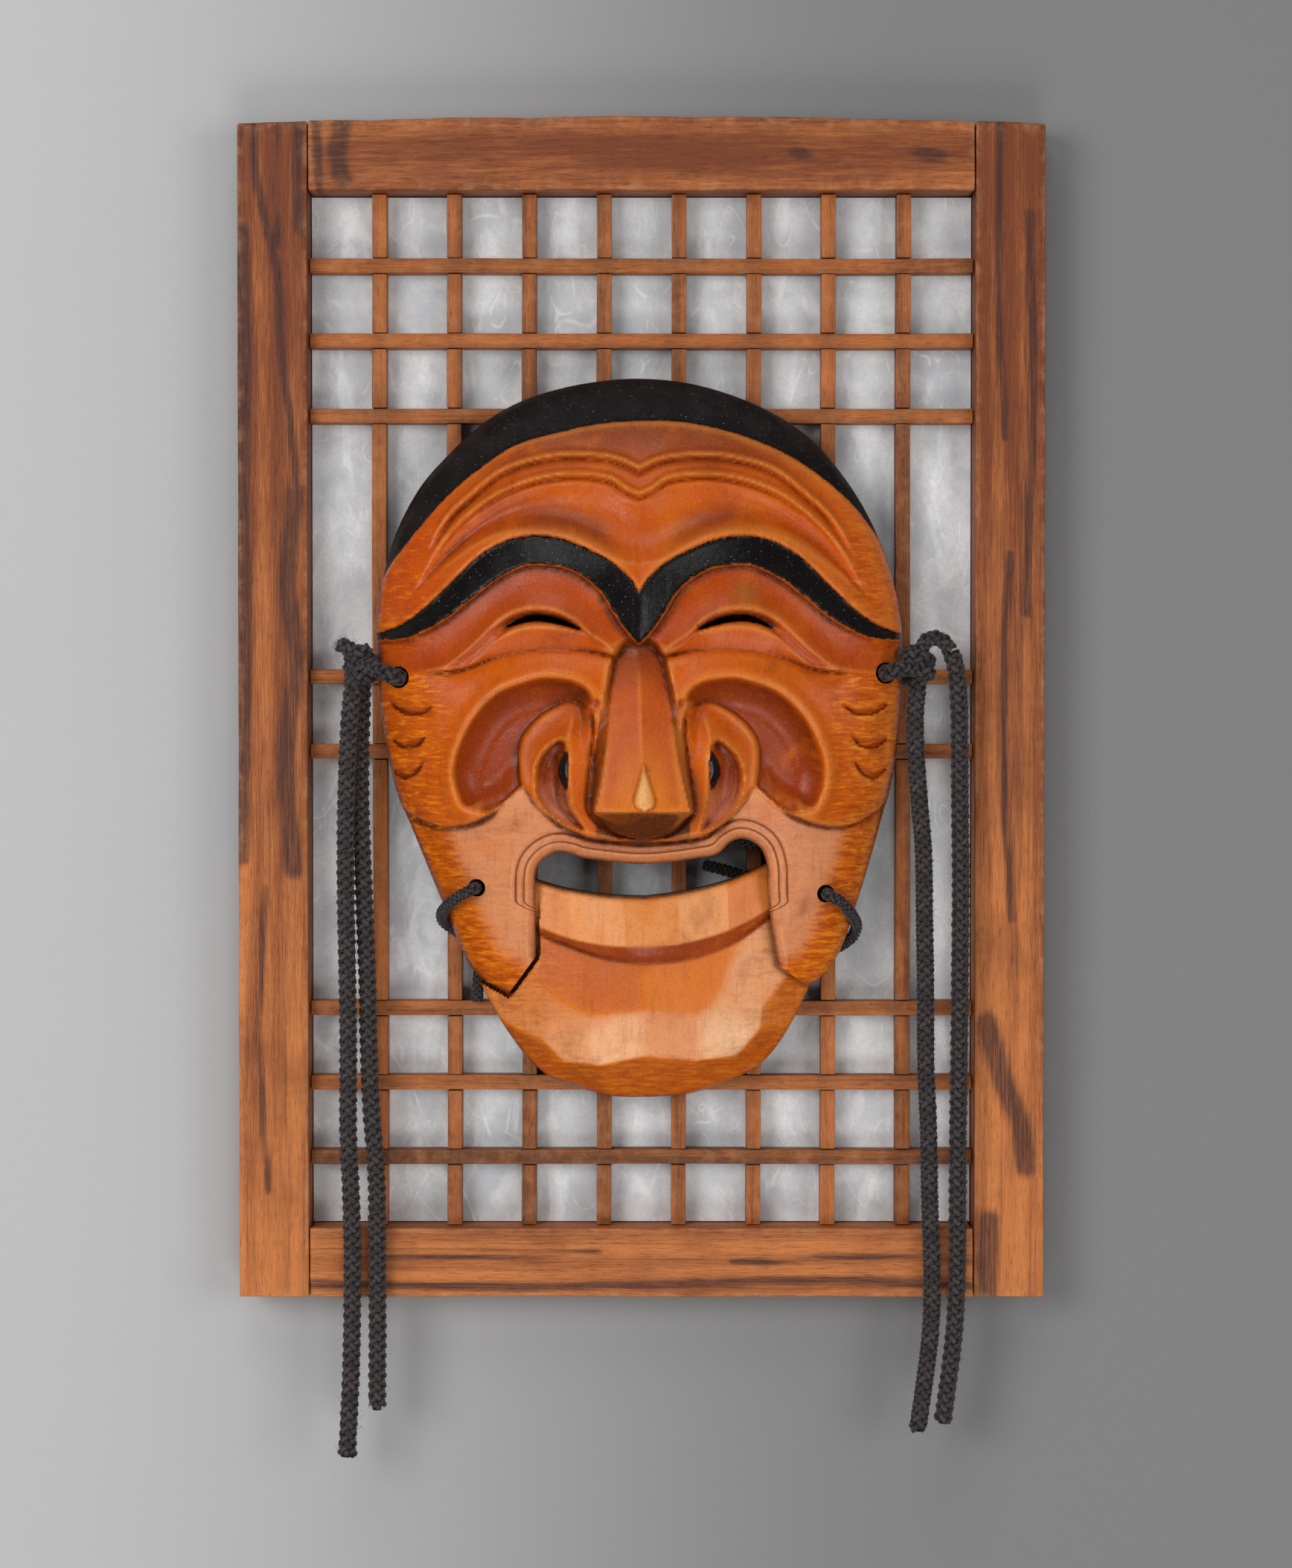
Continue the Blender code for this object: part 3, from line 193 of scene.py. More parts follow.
NOSTRIL = ((23.2, 0.9), (25.8, 2.1), (29.9, -0.9), (32.5, -5), (33.4, -9.7), (32.8, -15.5),
           (30.5, -20.2), (26.4, -24.0), (21.7, -26.4), (18.3, -27.2), (19.9, -23.1),
           (21.7, -18.4), (22.4, -12.6), (22.6, -3.8))
# Black painted shade round each nostril slit
NOSTRIL_SHADE = ((22.7, -1.6), (24.9, -3.6), (26.1, -7.5), (25.3, -11.4), (22.8, -14.0))
NOSTRIL_SLIT = ((22.9, -4.6), (23.7, -6.0), (24.0, -7.8), (23.7, -9.6), (22.9, -11.0))
NOSE_BASE = ((0, -29.6), (3, -29.4), (10, -27.2), (16.3, -20.8))
SMILE_LINE = ((0, -30.9), (4.7, -30.8), (16.4, -29.6), (21.1, -27.8), (25.8, -25.2),
              (30.5, -21.1), (34, -17.3), (37.5, -13.4), (43.4, -18.2), (48.6, -22),
              (53.9, -24.5), (58.6, -25.8), (64.5, -26.2), (69.1, -25.1), (76.2, -21.8),
              (90, -14))
CROWS_FEET = (
    ((64.8, 13.8), (69.0, 10.4), (74.0, 9.6), (78.5, 11.5), (82.3, 15.5)),
    ((67.8, 4.1), (71.0, 0.0), (75.6, -1.2), (79.0, 0.4), (81.8, 3.6)),
    ((68.8, -3.6), (71.4, -8.6), (75.6, -11.0), (79.0, -9.6), (81.2, -6.4)),
)

# Jaw outline of the right half, in its own straight frame
JAW_EDGE = ((0, -116.9), (11.5, -116.3), (22.5, -113.6), (32.5, -109.3), (39, -104.2),
            (44.5, -97), (49.5, -88.5), (53.5, -80.5), (56.5, -72), (58.3, -63), (60, -56),
            (62.8, -50), (62.3, -43.5), (57, -38.9), (47, -39.6), (38.5, -42.2), (34, -44),
            (26, -46.7), (13, -49.3), (0, -50.5))

# Knife facets: places where a flat cut touches the dome, right half and middle
CHIN_FACETS = ((-17.6, -79), (13, -79), (-26.5, -93.5), (-12.5, -97), (7, -98), (25, -95.5),
               (34.5, -79.5), (46, -86), (-40.5, -85), (-1.7, -111.5), (-25.5, -108.5), (24, -109.5),
               (-38.5, -101), (36.5, -102))
# Painted light of each chin facet: above 0 towards a pale highlight, below 0 towards shade
CHIN_FACET_LIGHT = (-0.5, 0.1, 0.45, 0.85, 0.3, 1.0, 1.0, 0.1, 0.3, -0.55, -0.6, -0.5, -0.7, -0.65)
LIP_FACETS = (-33, -16, 2, 19, 34)
# Painted shade of each lip facet, towards the chin's amber
LIP_FACET_LIGHT = (0.5, 0.1, 0.3, 0.0, 0.75)
FLAP_FACETS = ((46, -50), (62, -48), (43, -31), (22, -33))

# Height tables: (up, value) in millimetres
MIDDLE_HEIGHT = ((-90, 27), (-82, 30.5), (-60, 36), (-40, 39), (-20, 42), (0, 43.5), (20, 44),
                 (40, 44), (60, 41.5), (80, 36.5), (95, 30.5), (108, 22.5), (116, 16), (121, 12))
HALF_WIDTH = ((-90, 46), (-80, 55), (-75, 58.5), (-66, 63.5), (-57, 66.5), (-44, 71.5),
              (-29, 77), (-15, 81.3), (0, 84.2), (20, 86.5), (35, 87.2), (50, 85.8), (67.5, 80),
              (83.7, 71.5), (95.7, 61.5), (105.4, 50.5), (112.5, 38.5), (117, 26), (120.5, 12))
NOSE_HEIGHT = ((-21, 59), (-18, 58.4), (-10, 54.6), (0, 49.8), (10, 45), (20, 41), (28, 38.6),
               (33, 38))
NOSE_EDGE = ((-21, 15.2), (-12.6, 13.2), (-0.9, 11.1), (13.8, 9.4), (27.9, 7.4), (34, 5))
NOSE_FOOT = ((-22, 16.4), (-17, 16.5), (-10, 15.8), (-1, 14.7), (5, 13.6), (11, 12.6),
             (20, 10.6), (28, 8.9), (34, 6))
JAW_MIDDLE = ((-118, 7.5), (-111, 15), (-104.5, 22.5), (-95, 26.5), (-82, 28.5), (-70, 27.6),
              (-50, 26))
JAW_HALF_WIDTH = ((-117.5, 10), (-116.3, 17), (-113.6, 26), (-109.3, 34.5), (-104.2, 41),
                  (-97, 46.5), (-88.5, 51.5), (-80.5, 55.5), (-72, 59), (-62, 62), (-52, 64.5),
                  (-38, 64.5))
LIP_BOTTOM = ((0, -65.7), (13, -64.9), (26, -61.9), (36, -57.6), (46, -52.5), (66, -40))
LIP_HEIGHT = 31.0
LIP_DROP = 7.2
LIP_UNDERSIDE = 5.8

# Ties: (across, up, ahead of the rim), None for a height that lies on the carved face
TIE_LEFT = ((-44.5, -33.5, 5.0), (-49.3, -39.5, 2.4), (-51.9, -44.3, 2.6), (-52.7, -46.1, 5.6),
            (-52.7, -46.1, 11.0), (-52.7, -46.1, 20.0), (-54.0, -46.5, None), (-57.0, -48.0, None),
            (-60.8, -50.6, None), (-64.3, -54.4, 13.6), (-64.6, -57.4, 8.4), (-62.4, -60.0, 4.2),
            (-58.4, -62.8, 2.5), (-54.8, -66.6, 2.3), (-52.8, -72.0, 2.3), (-53.3, -78.0, 2.3),
            (-53.4, -84.5, 2.3))
TIE_RIGHT = ((28.0, -28.6, 13.0), (35.5, -32.2, 12.0), (43.0, -33.4, 8.6), (51.0, -35.4, 3.4),
             (57.0, -41.0, 2.4), (59.4, -46.0, 2.8), (60.5, -48.0, 5.8), (60.5, -48.0, 11.0),
             (60.5, -48.0, 19.0), (61.8, -48.6, None), (65.0, -50.4, None), (68.0, -53.6, None),
             (70.9, -58.0, 12.2), (71.0, -61.2, 7.2), (69.4, -64.2, 3.4), (65.6, -66.8, 2.3),
             (61.0, -68.6, 2.3))
TIE_RIGHT_TAIL = ((58.6, -44.6, 2.6), (50.0, -46.4, 2.4), (42.0, -45.4, 2.6), (35.0, -43.4, 2.6),
                  (28.0, -41.2, 4.4), (21.6, -39.4, 7.0))

# Knots beside the ears: (across, up, ahead of the wall) in millimetres
KNOTS = {
    "ear_knot_left": {
        "centre": (-92.2, -166.8, 30.0),
        "strand": ((-78.6, -170.7, 14.0), (-78.6, -170.7, 36.6), (-80.4, -170.1, 40.0),
                   (-84.6, -168.6, 39.4), (-90.5, -166.3, 33.0)),
        "end": ((-92.2, -165.6, 31.0), (-95.4, -160.2, 31.0), (-97.3, -156.4, 30.0)),
    },
    "ear_knot_right": {
        "centre": (90.9, -166.6, 31.0),
        "strand": ((79.3, -169.3, 14.0), (79.3, -169.3, 35.0), (81.0, -168.8, 38.6),
                   (85.2, -167.8, 38.0), (89.8, -166.8, 32.6)),
        "end": ((90.6, -166.0, 31.5), (91.0, -161.4, 32.0), (93.2, -158.3, 32.2),
                (96.2, -157.9, 32.0), (98.6, -159.3, 31.5), (100.18, -161.68, 31.05)),
    },
}

# The wound knots as seen: a little nearer the ears, the left one with a short end
KNOT_SHIFT = 1.2
LEFT_KNOT_END = ((-90.4, -165.6, 32.0), (-94.0, -162.0, 32.8), (-98.0, -159.8, 31.8))

# Free cords: (across, up, ahead of the wall) in millimetres, from the knots down
CORD_ROUTES = {
    "cord_left_outer": ((-93.8, -174.6, 33.4), (-94.7, -183.0, 32.2), (-95.6, -195.0, 30.2),
                        (-96.3, -215.0, 29.2), (-96.5, -240.0, 28.4), (-96.1, -268.0, 27.6),
                        (-95.9, -295.0, 26.6), (-96.1, -320.0, 25.4), (-95.3, -340.0, 24.3),
                        (-95.0, -358.0, 23.2), (-95.1, -378.0, 22.3), (-95.6, -400.0, 22.0),
                        (-96.9, -427.0, 22.6)),
    "cord_left_inner": ((-91.2, -174.6, 26.6), (-91.5, -183.0, 25.2), (-91.9, -195.0, 24.4),
                        (-91.9, -215.0, 24.0), (-91.0, -240.0, 23.8), (-89.9, -268.0, 23.6),
                        (-89.5, -290.0, 23.4), (-88.6, -313.0, 23.0), (-87.0, -336.0, 22.6),
                        (-86.9, -358.0, 22.2), (-86.8, -384.0, 22.0), (-87.0, -411.5, 22.4)),
    "cord_right_inner": ((90.0, -174.4, 29.0), (89.4, -182.0, 27.4), (89.6, -193.0, 26.0),
                         (90.8, -210.0, 25.2), (92.3, -228.0, 24.8), (92.7, -250.0, 24.4),
                         (93.1, -272.0, 24.0), (93.3, -298.0, 23.5), (94.2, -318.0, 23.0),
                         (94.8, -345.0, 22.4), (95.6, -368.0, 21.9), (94.9, -388.0, 21.9),
                         (90.9, -418.5, 22.4)),
    "cord_right_outer": ((100.85, -162.85, 31.0), (102.4, -168.0, 30.2), (103.6, -180.0, 28.6),
                         (103.9, -195.0, 26.8), (104.2, -215.0, 25.9), (104.5, -238.0, 25.2),
                         (104.4, -266.0, 24.5), (104.2, -297.0, 23.8), (103.9, -322.0, 23.1),
                         (103.9, -345.0, 22.5), (103.8, -368.0, 21.9), (102.6, -389.0, 21.8),
                         (99.1, -416.0, 22.2)),
}


# Dark heartwood streaks of the frame's boards: (across, up) points and a half width
BOARD_FIGURE = {
    "stile_left": (
        (((-126.9, 13), (-126.9, -1.5), (-123.9, -18.4), (-121.2, -29.6), (-118.8, -43.1),
          (-118.3, -63.2), (-115.6, -84.8), (-114.2, -104), (-115.4, -122)), 1.5),
        (((-131.0, -24), (-130.2, -60), (-131, -110), (-130.4, -160), (-131.4, -230)), 2.6),
        (((-112.4, 13), (-113, -8), (-112.2, -24)), 1.9),
        (((-119.6, 12), (-120.4, -12), (-118.6, -30)), 0.9),
        (((-113.5, -110), (-116.4, -138), (-113.6, -166), (-117, -196), (-114.6, -234)), 3.4),
        (((-124, -240), (-126, -290), (-123, -340)), 1.1)),
    "stile_right": (
        (((118, 12), (117, -40), (119.4, -92)), 1.3),
        (((127.4, -18), (128.4, -80), (126.4, -150)), 1.6),
        (((121, -130), (118.6, -190), (122, -250)), 1.4),
        (((114, -284), (118, -300), (124.4, -317), (127, -332)), 4.0),
        (((114.2, -350), (113.4, -375)), 4.4)),
    "rail_top": (
        (((-97.2, 13), (-99.8, 3), (-98.4, -7)), 3.4),
        (((-107, 12), (-105.4, -10)), 1.6),
        (((40, 3), (70, -1), (104, 1.6)), 0.8)),
    "rail_bottom": (
        (((-109, -370.4), (-40, -371.8), (50, -369.6), (109, -371.2)), 1.5),
        (((-109, -360.6), (-60, -361.6), (-14, -360.2)), 0.8),
        (((30, -364), (70, -362), (109, -363)), 0.9)),
}


# Curves in the mask's own plane
def smooth_line(points, closed=False, per_span=8):
    """Catmull-Rom curve through points, as an array with per_span steps a span."""
    pts = np.asarray(points, dtype=float)
    if closed:
        padded = np.vstack((pts[-1], pts, pts[:2]))
    else:
        padded = np.vstack((2 * pts[0] - pts[1], pts, 2 * pts[-1] - pts[-2]))
    rows = []
    for i in range(1, len(padded) - 2):
        p0, p1, p2, p3 = padded[i - 1:i + 3]
        for t in np.arange(per_span) / per_span:
            rows.append(0.5 * (2 * p1 + (p2 - p0) * t + (2 * p0 - 5 * p1 + 4 * p2 - p3) * t ** 2
                               + (3 * p1 - p0 - 3 * p2 + p3) * t ** 3))
    if not closed:
        rows.append(padded[-2])
    return np.array(rows)


def value_on(table, x):
    """Smooth value of a (place, value) table at x."""
    line = smooth_line(table)
    return np.interp(x, line[:, 0], line[:, 1])


def above(curve, u, v):
    """Distance of (u, v) above a carved line, square to the line."""
    line = smooth_line(curve)
    slope = np.gradient(line[:, 1], line[:, 0])
    rise = v - np.interp(u, line[:, 0], line[:, 1])
    return rise / np.sqrt(1 + np.interp(u, line[:, 0], slope) ** 2)


def distance(line, u, v):
    """Distance of (u, v) from an open line of points."""
    best = np.full(np.shape(u), np.inf)
    for (ax, ay), (bx, by) in zip(line[:-1], line[1:]):
        dx, dy = bx - ax, by - ay
        along = np.clip(((u - ax) * dx + (v - ay) * dy) / (dx * dx + dy * dy + 1e-12), 0, 1)
        best = np.minimum(best, np.hypot(u - ax - along * dx, v - ay - along * dy))
    return best


def within(loop, u, v):
    """True where (u, v) is inside a closed loop of points."""
    inside = np.zeros(np.shape(u), dtype=bool)
    for (ax, ay), (bx, by) in zip(loop, np.roll(loop, -1, axis=0)):
        crosses = (ay > v) != (by > v)
        rise = by - ay if by != ay else 1e-12
        inside ^= crosses & (u < ax + (v - ay) * (bx - ax) / rise)
    return inside


def depth_in(loop, u, v):
    """Distance inside a closed loop, negative outside it."""
    gap = distance(np.vstack((loop, loop[:1])), u, v)
    return np.where(within(loop, u, v), gap, -gap)


def step(low, high, x):
    """Smooth rise from 0 at low to 1 at high."""
    t = np.clip((x - low) / (high - low), 0, 1)
    return t * t * (3 - 2 * t)


def past(x):
    """Soft switch: 1 where x is above 0 and 0 below it."""
    return step(-STEP_SOFTNESS, STEP_SOFTNESS, x)


def bump(x, width):
    """Soft ridge of height 1 around x = 0."""
    return np.exp(-(x / width) ** 2)


def knife_cuts(dome, places, u, v):
    """Heights of the flat knife cuts that touch a dome at the given places."""
    cuts = []
    for place_u, place_v in places:
        at = [np.array([float(place_u)]), np.array([float(place_v)])]
        h = dome(*at)[0]
        slope_u = (dome(at[0] + 0.5, at[1])[0] - dome(at[0] - 0.5, at[1])[0])
        slope_v = (dome(at[0], at[1] + 0.5)[0] - dome(at[0], at[1] - 0.5)[0])
        cuts.append(h + slope_u * (u - place_u) + slope_v * (v - place_v))
    return np.array(cuts)


def cut_flat(dome, places, u, v):
    """Dome replaced by its flat knife cuts."""
    return knife_cuts(dome, places, u, v).min(0)


def both_sides(places):
    return tuple(places) + tuple((-u, v) for u, v in places if u)


def mask_outline():
    """Closed outline of the upper mask, with sharp tips on its cheek flaps."""
    return np.vstack((smooth_line(HEAD_EDGE, per_span=6), smooth_line(MOUTH_EDGE, per_span=4)))


def jaw_outline():
    """Closed outline of the jaw in its own straight frame."""
    half = smooth_line(JAW_EDGE, per_span=4)
    return np.vstack((half, half[-2:0:-1] * (-1, 1)))


def circle(centre, radius, count=24):
    angles = np.arange(count) * 2 * math.pi / count
    return np.column_stack((centre[0] + radius * np.cos(angles), centre[1] + radius * np.sin(angles)))


def mirrored(points, side):
    return np.asarray(points, dtype=float) * (side, 1)


def sway(v):
    """The lower face leans a few millimetres to one side, as it was carved."""
    return np.where(v < -20, 6 * (1 - np.exp((np.minimum(v, -20) + 20) / 30)), 0.0)


# Upper mask
def mask_dome(u, v):
    """Plain dome of the face that the carving is cut from."""
    edge = EDGE_HEIGHT + 4.5 * step(20, 78, -v)
    reach = np.clip(np.abs(u - sway(v)) / value_on(HALF_WIDTH, v), 0, 1)
    return edge + (value_on(MIDDLE_HEIGHT, v) - edge) * (1 - reach ** 2.6) ** 0.7


def forehead(u, v):
    a = np.abs(u)
    relief = -1.3 * step(-0.3, 0.6, above(HAIRLINE, u, v))
    fade = 1 - step(60, 71, a)
    for ridge in (UPPER_RIDGE, LOWER_RIDGE):
        rise = above(ridge, a, v)
        relief += fade * (1.7 * bump(rise, 1.05) - 1.1 * bump(rise + 1.9, 0.9))
    upper, lower = value_on(LOWER_RIDGE, a) - 3, value_on(BROW_LIP, a)
    t = np.clip((v - lower) / np.maximum(upper - lower, 1), 0, 1)
    relief -= 3.2 * np.sin(math.pi * t) * (1 - step(56, 76, a))
    return relief


def brows_and_lids(u, v):
    """Brow ridge, eyelids and eye line."""
    a = np.abs(u)
    brow_top, brow_bottom = above(BROW_TOP, a, v), above(BROW_BOTTOM, a, v)
    lid, low_lid, under = above(LID_RIDGE, a, v), above(LOWER_LID, a, v), above(UNDER_EYE, a, v)
    ends = 1 - 0.6 * step(58, 80, a)
    band = np.clip(brow_bottom / np.maximum(brow_bottom - brow_top, 0.5), 0, 1)
    relief = 1.3 * step(7, 0, brow_top) * past(brow_top)
    relief += (1.1 - 1.7 * band) * past(-brow_top) * past(brow_bottom)
    t = np.clip((v - value_on(LID_RIDGE, a))
                / np.maximum(value_on(BROW_BOTTOM, a) - value_on(LID_RIDGE, a), 1), 0, 1)
    lids = (-2.7 * t ** 0.8 - 0.5 * (1 - t) - 1.2 * np.sin(math.pi * t)) * ends
    relief += lids * past(-brow_bottom - 0.3) * past(lid)
    opening = np.maximum(value_on(LID_RIDGE, a) - value_on(LOWER_LID, a), 0.6)
    s = np.clip((v - value_on(LOWER_LID, a)) / opening, 0, 1)
    middle = step(15, 22, a) * step(47, 40, a)
    deep = -1.9 - 3.2 * middle * step(0, 0.4, s) + (1.0 + 3.2 * middle) * step(0.55, 1.0, s)
    relief += deep * ends * step(0.6, 4, opening) * past(-lid) * past(low_lid)
    slope = -1.5 - 2.9 * np.clip(-low_lid / np.maximum(under - low_lid, 0.5), 0, 1) ** 1.4
    relief += slope * ends * step(62, 50, a) * past(-low_lid) * past(under)
    shadow = 4.0 * np.exp(np.minimum(under, 0) / 4.5) * ends * step(80, 55, a)
    return relief - shadow * past(-under)


def cheeks(u, v):
    """Hollow cheeks, nostril wings, the smile line and the flat flaps below it."""
    relief = np.zeros(np.shape(u))
    a = np.abs(u - sway(v))
    below = above(SMILE_LINE, a, v)
    rim = smooth_line(CHEEK_HOLLOW)[:-21]
    hollow = depth_in(smooth_line(CHEEK_HOLLOW, closed=True), a, v)
    wing_loop = smooth_line(WING, closed=True, per_span=6)
    wing_rim = smooth_line(WING[:WING_RIM_POINTS])
    wing = depth_in(wing_loop, a, v)
    slope = 1 - np.clip(distance(rim, a, v) / HOLLOW_REACH, 0, 1)
    floor = -HOLLOW_DEPTH * (1 - slope ** 2) + 3.0 * step(9, 0, below)
    relief += floor * past(hollow - 0.4) + 1.2 * bump(hollow + 1.4, 2.6) * past(-hollow) * past(below)
    wing_height = -6.4 + 7.4 * step(1, 17, distance(wing_rim, a, v)) - 1.2 * bump(wing, 0.8)
    wing_height += 3.2 * step(4, -14, v) * step(12, 4, distance(wing_rim, a, v))
    wing_height += 3.6 * step(19.5, 14.5, a) * step(-4, 6, v)
    relief += (wing_height - relief) * past(wing)
    relief *= 1 - 0.85 * bump(np.hypot(a - 14.3, v - 12.4), 2.6)
    nostril = depth_in(smooth_line(NOSTRIL, closed=True), a, v)
    bowl = 3.4 * step(-0.2, 1.6, nostril) + 2.4 * step(1.0, 4.6, nostril)
    relief -= np.where(nostril > 0, bowl, -0.4 * bump(nostril, 0.8))
    roll = 1.0 * np.exp(-np.maximum(below, 0) / 3.0) * step(44, 54, a)
    flap = FLAP_DROP - 0.8 * bump(below, 1.2)
    relief = flap + (relief - roll - flap) * past(below)
    return relief - crows_feet(a, v) * (below > 0)


def crows_feet(a, v):
    """Depth of the crescent cuts beside the eyes, deepest along their lower edge."""
    depth = np.zeros(np.shape(a))
    for fold in CROWS_FEET:
        lower = smooth_line(fold)
        chord = lower[0] + (lower[-1] - lower[0]) * np.linspace(0, 1, len(lower))[:, None]
        upper = chord + 0.42 * (lower - chord)
        inside = within(np.vstack((lower, upper[::-1])), a, v)
        down, up = distance(upper, a, v), distance(lower, a, v)
        cut = 1.9 * down / (down + up + 1e-6) * step(0, 1.4, down + up)
        depth = np.maximum(depth, inside * cut)
    return depth


def lips(u, v):
    """Rolled edge and double line round the mouth."""
    gap = distance(smooth_line(MOUTH_EDGE, per_span=4), u, v)
    fade = step(-58, -50, v)
    relief = -2.6 * (1 - np.clip(gap / 2.6, 0, 1)) ** 1.1
    lines = 0.8 * bump(gap - 6.4, 0.75) + 0.6 * bump(gap - 4.3, 0.6) + 0.6 * step(6.6, 5.8, gap)
    return relief - fade * lines


def with_nose(u, v, cheek):
    """Straight nose laid over the cheeks, with a flat front and a faceted tip."""
    across = u - NOSE_LEAN * step(25, -20, v)
    a = np.abs(across)
    level = np.maximum(v, NOSE_TIP)
    top, edge, foot = (value_on(table, level) for table in (NOSE_HEIGHT, NOSE_EDGE, NOSE_FOOT))
    edge = edge * (1 - 0.35 * step(27, 34, v))
    top = cheek + (top - cheek) * step(34.0, 31.2, v)
    front = top - NOSE_ROOF * np.clip(a / edge, 0, 1) + PIP_RISE * pip_share(across, v)
    slide = np.clip((a - edge) / np.maximum(foot - edge, 0.8), 0, 1)
    front = front + (cheek - front) * slide ** 0.9
    base = smooth_line(NOSE_BASE)
    lowest = np.interp(a, base[:, 0], base[:, 1])
    drop = np.clip((v - lowest) / np.maximum(NOSE_TIP - lowest, 0.6), 0, 1)
    under = cheek + (front - cheek) * (0.12 + 0.88 * drop ** 0.8)
    nose = np.where(v >= NOSE_TIP, front, under)
    return np.where((v > lowest) & (v <= 34.0) & (a < foot), nose, cheek)


def pip_share(across, v):
    """Teardrop at the tip of the nose: 1 on its crest and 0 outside it."""
    fall = np.clip((-5.5 - v) / 14.5, 0, 1)
    half = 5.2 * fall ** 1.15 * np.sqrt(np.clip(1 - fall ** 8, 0, 1)) + 1e-3
    share = np.clip(1 - ((across - 0.6) / half) ** 2, 0, 1) ** 0.7
    return np.where((v < -5.5) & (v > -20.0), share, 0)


def mask_front(u, v):
    """Height of the carved face ahead of the rim plane, all in millimetres."""
    dome = mask_dome(u, v)
    flaps = np.minimum(dome, cut_flat(mask_dome, both_sides(FLAP_FACETS), u, v))
    low = past(-above(SMILE_LINE, np.abs(u - sway(v)), v))
    face = dome + low * (flaps - dome) + cheeks(u, v) + lips(u, v)
    face = face + np.where(v > -12, forehead(u, v) + brows_and_lids(u, v) * step(-4, 8, v), 0)
    face = with_nose(u, v, face)
    outer = distance(smooth_line(HEAD_EDGE, per_span=4), u, v)
    return face - 2.2 * (1 - np.clip(outer / 3.2, 0, 1)) ** 2


def mask_back(u, v):
    """Height of the hollow inside of the mask."""
    wall = CHEEK_WALL + (FOREHEAD_WALL - CHEEK_WALL) * step(-34, -22, v)
    rim = 7.5 * step(25, 72, -v)
    inner = np.maximum(mask_dome(u, v) - wall, rim)
    outer = distance(smooth_line(HEAD_EDGE, per_span=4), u, v)
    ring = step(-34, -24, v) * (1 - step(RIM_WIDTH, 2.4 * RIM_WIDTH, outer))
    return inner + (rim - inner) * ring


# Jaw
def jaw_to_mask(w, v):
    """Turn jaw-frame places to mask-frame places."""
    c, s = math.cos(JAW_TURN), math.sin(JAW_TURN)
    dw, dv = w, v - JAW_PIVOT[1]
    return JAW_PIVOT[0] + c * dw - s * dv, JAW_PIVOT[1] + JAW_RISE + s * dw + c * dv


def mask_to_jaw(u, v):
    c, s = math.cos(JAW_TURN), math.sin(JAW_TURN)
    du, dv = u - JAW_PIVOT[0], v - JAW_PIVOT[1] - JAW_RISE
    return c * du + s * dv, JAW_PIVOT[1] - s * du + c * dv


def jaw_dome(w, v):
    """Rounded chin below the lip."""
    reach = np.clip(np.abs(w) / value_on(JAW_HALF_WIDTH, v), 0, 1)
    edge = JAW_EDGE_HEIGHT + 2.0 * step(-68, -58, v)
    return edge + (value_on(JAW_MIDDLE, v) - edge) * (1 - reach ** 2.1) ** 0.8


def lip_dome(w, v):
    """Lower lip, a band bent round the teeth."""
    return LIP_HEIGHT - LIP_DROP * (w / 37) ** 2 - 0.05 * (v + 58)


def jaw_front(w, v):
    """Height of the jaw ahead of the rim plane, kept clear behind the cheek flaps."""
    chin = cut_flat(jaw_dome, CHIN_FACETS, w, v)
    lip = cut_flat(lip_dome, [(place, -58) for place in LIP_FACETS], w, v)
    rise = above(LIP_BOTTOM, np.abs(w), v)
    reach = LIP_UNDERSIDE - 3.3 * np.clip((w - 8) / 34, -1, 1) ** 2
    slant = np.clip(1 + rise / reach, 0, 1)
    face = chin - 0.7 * bump(slant, 0.25) + (lip - chin) * slant
    face = np.maximum(face, 3.5)
    u, mask_v = jaw_to_mask(w, v)
    covered = depth_in(mask_outline(), u, mask_v) > -1.2
    limit = mask_back(u, mask_v) - JAW_CLEARANCE
    face = np.where(covered, np.minimum(face, limit), face)
    outer = distance(np.vstack((jaw_outline(), jaw_outline()[:1])), w, v)
    return face - 1.0 * (1 - np.clip(outer / 1.6, 0, 1)) ** 2


def jaw_back(w, v):
    outer = distance(np.vstack((jaw_outline(), jaw_outline()[:1])), w, v)
    inner = np.clip(jaw_dome(w, v) - JAW_WALL, 0, None)
    inner = np.minimum(inner, np.maximum(jaw_front(w, v) - 3.0, 0)) * step(4, 9, outer)
    return np.maximum(inner, JAW_EAR_LIFT * step(-66, -58, v))


def in_world(u, v, height):
    """Mask-frame place in millimetres to metres in the world."""
    return (MASK_X + u * MM, -RIM_DEPTH - height * MM, MASK_Z + v * MM)


def on_face(route, diameter):
    """World points of a tie; a missing height is laid on the carved face."""
    rest = diameter / MM / 2 + 0.45
    points = []
    for u, v, height in route:
        if height is None:
            around = [(u + du, v + dv) for du in (-2, 0, 2) for dv in (-2, 0, 2)]
            near = np.array(around, dtype=float)
            height = mask_front(near[:, 0], near[:, 1]).max() + rest
        points.append((u, v, height))
    return points


# Colours
def srgb(*levels):
    """Linear colour of red, green and blue levels from 0 to 255."""
    level = np.array(levels, dtype=float) / 255
    return tuple(np.where(level <= 0.04045, level / 12.92, ((level + 0.055) / 1.055) ** 2.4))


def toward(colour, other, share):
    """Colours of many points moved towards one colour by a share each."""
    share = np.clip(share, 0, 1)[:, None]
    return colour + (np.array(other) - colour) * share


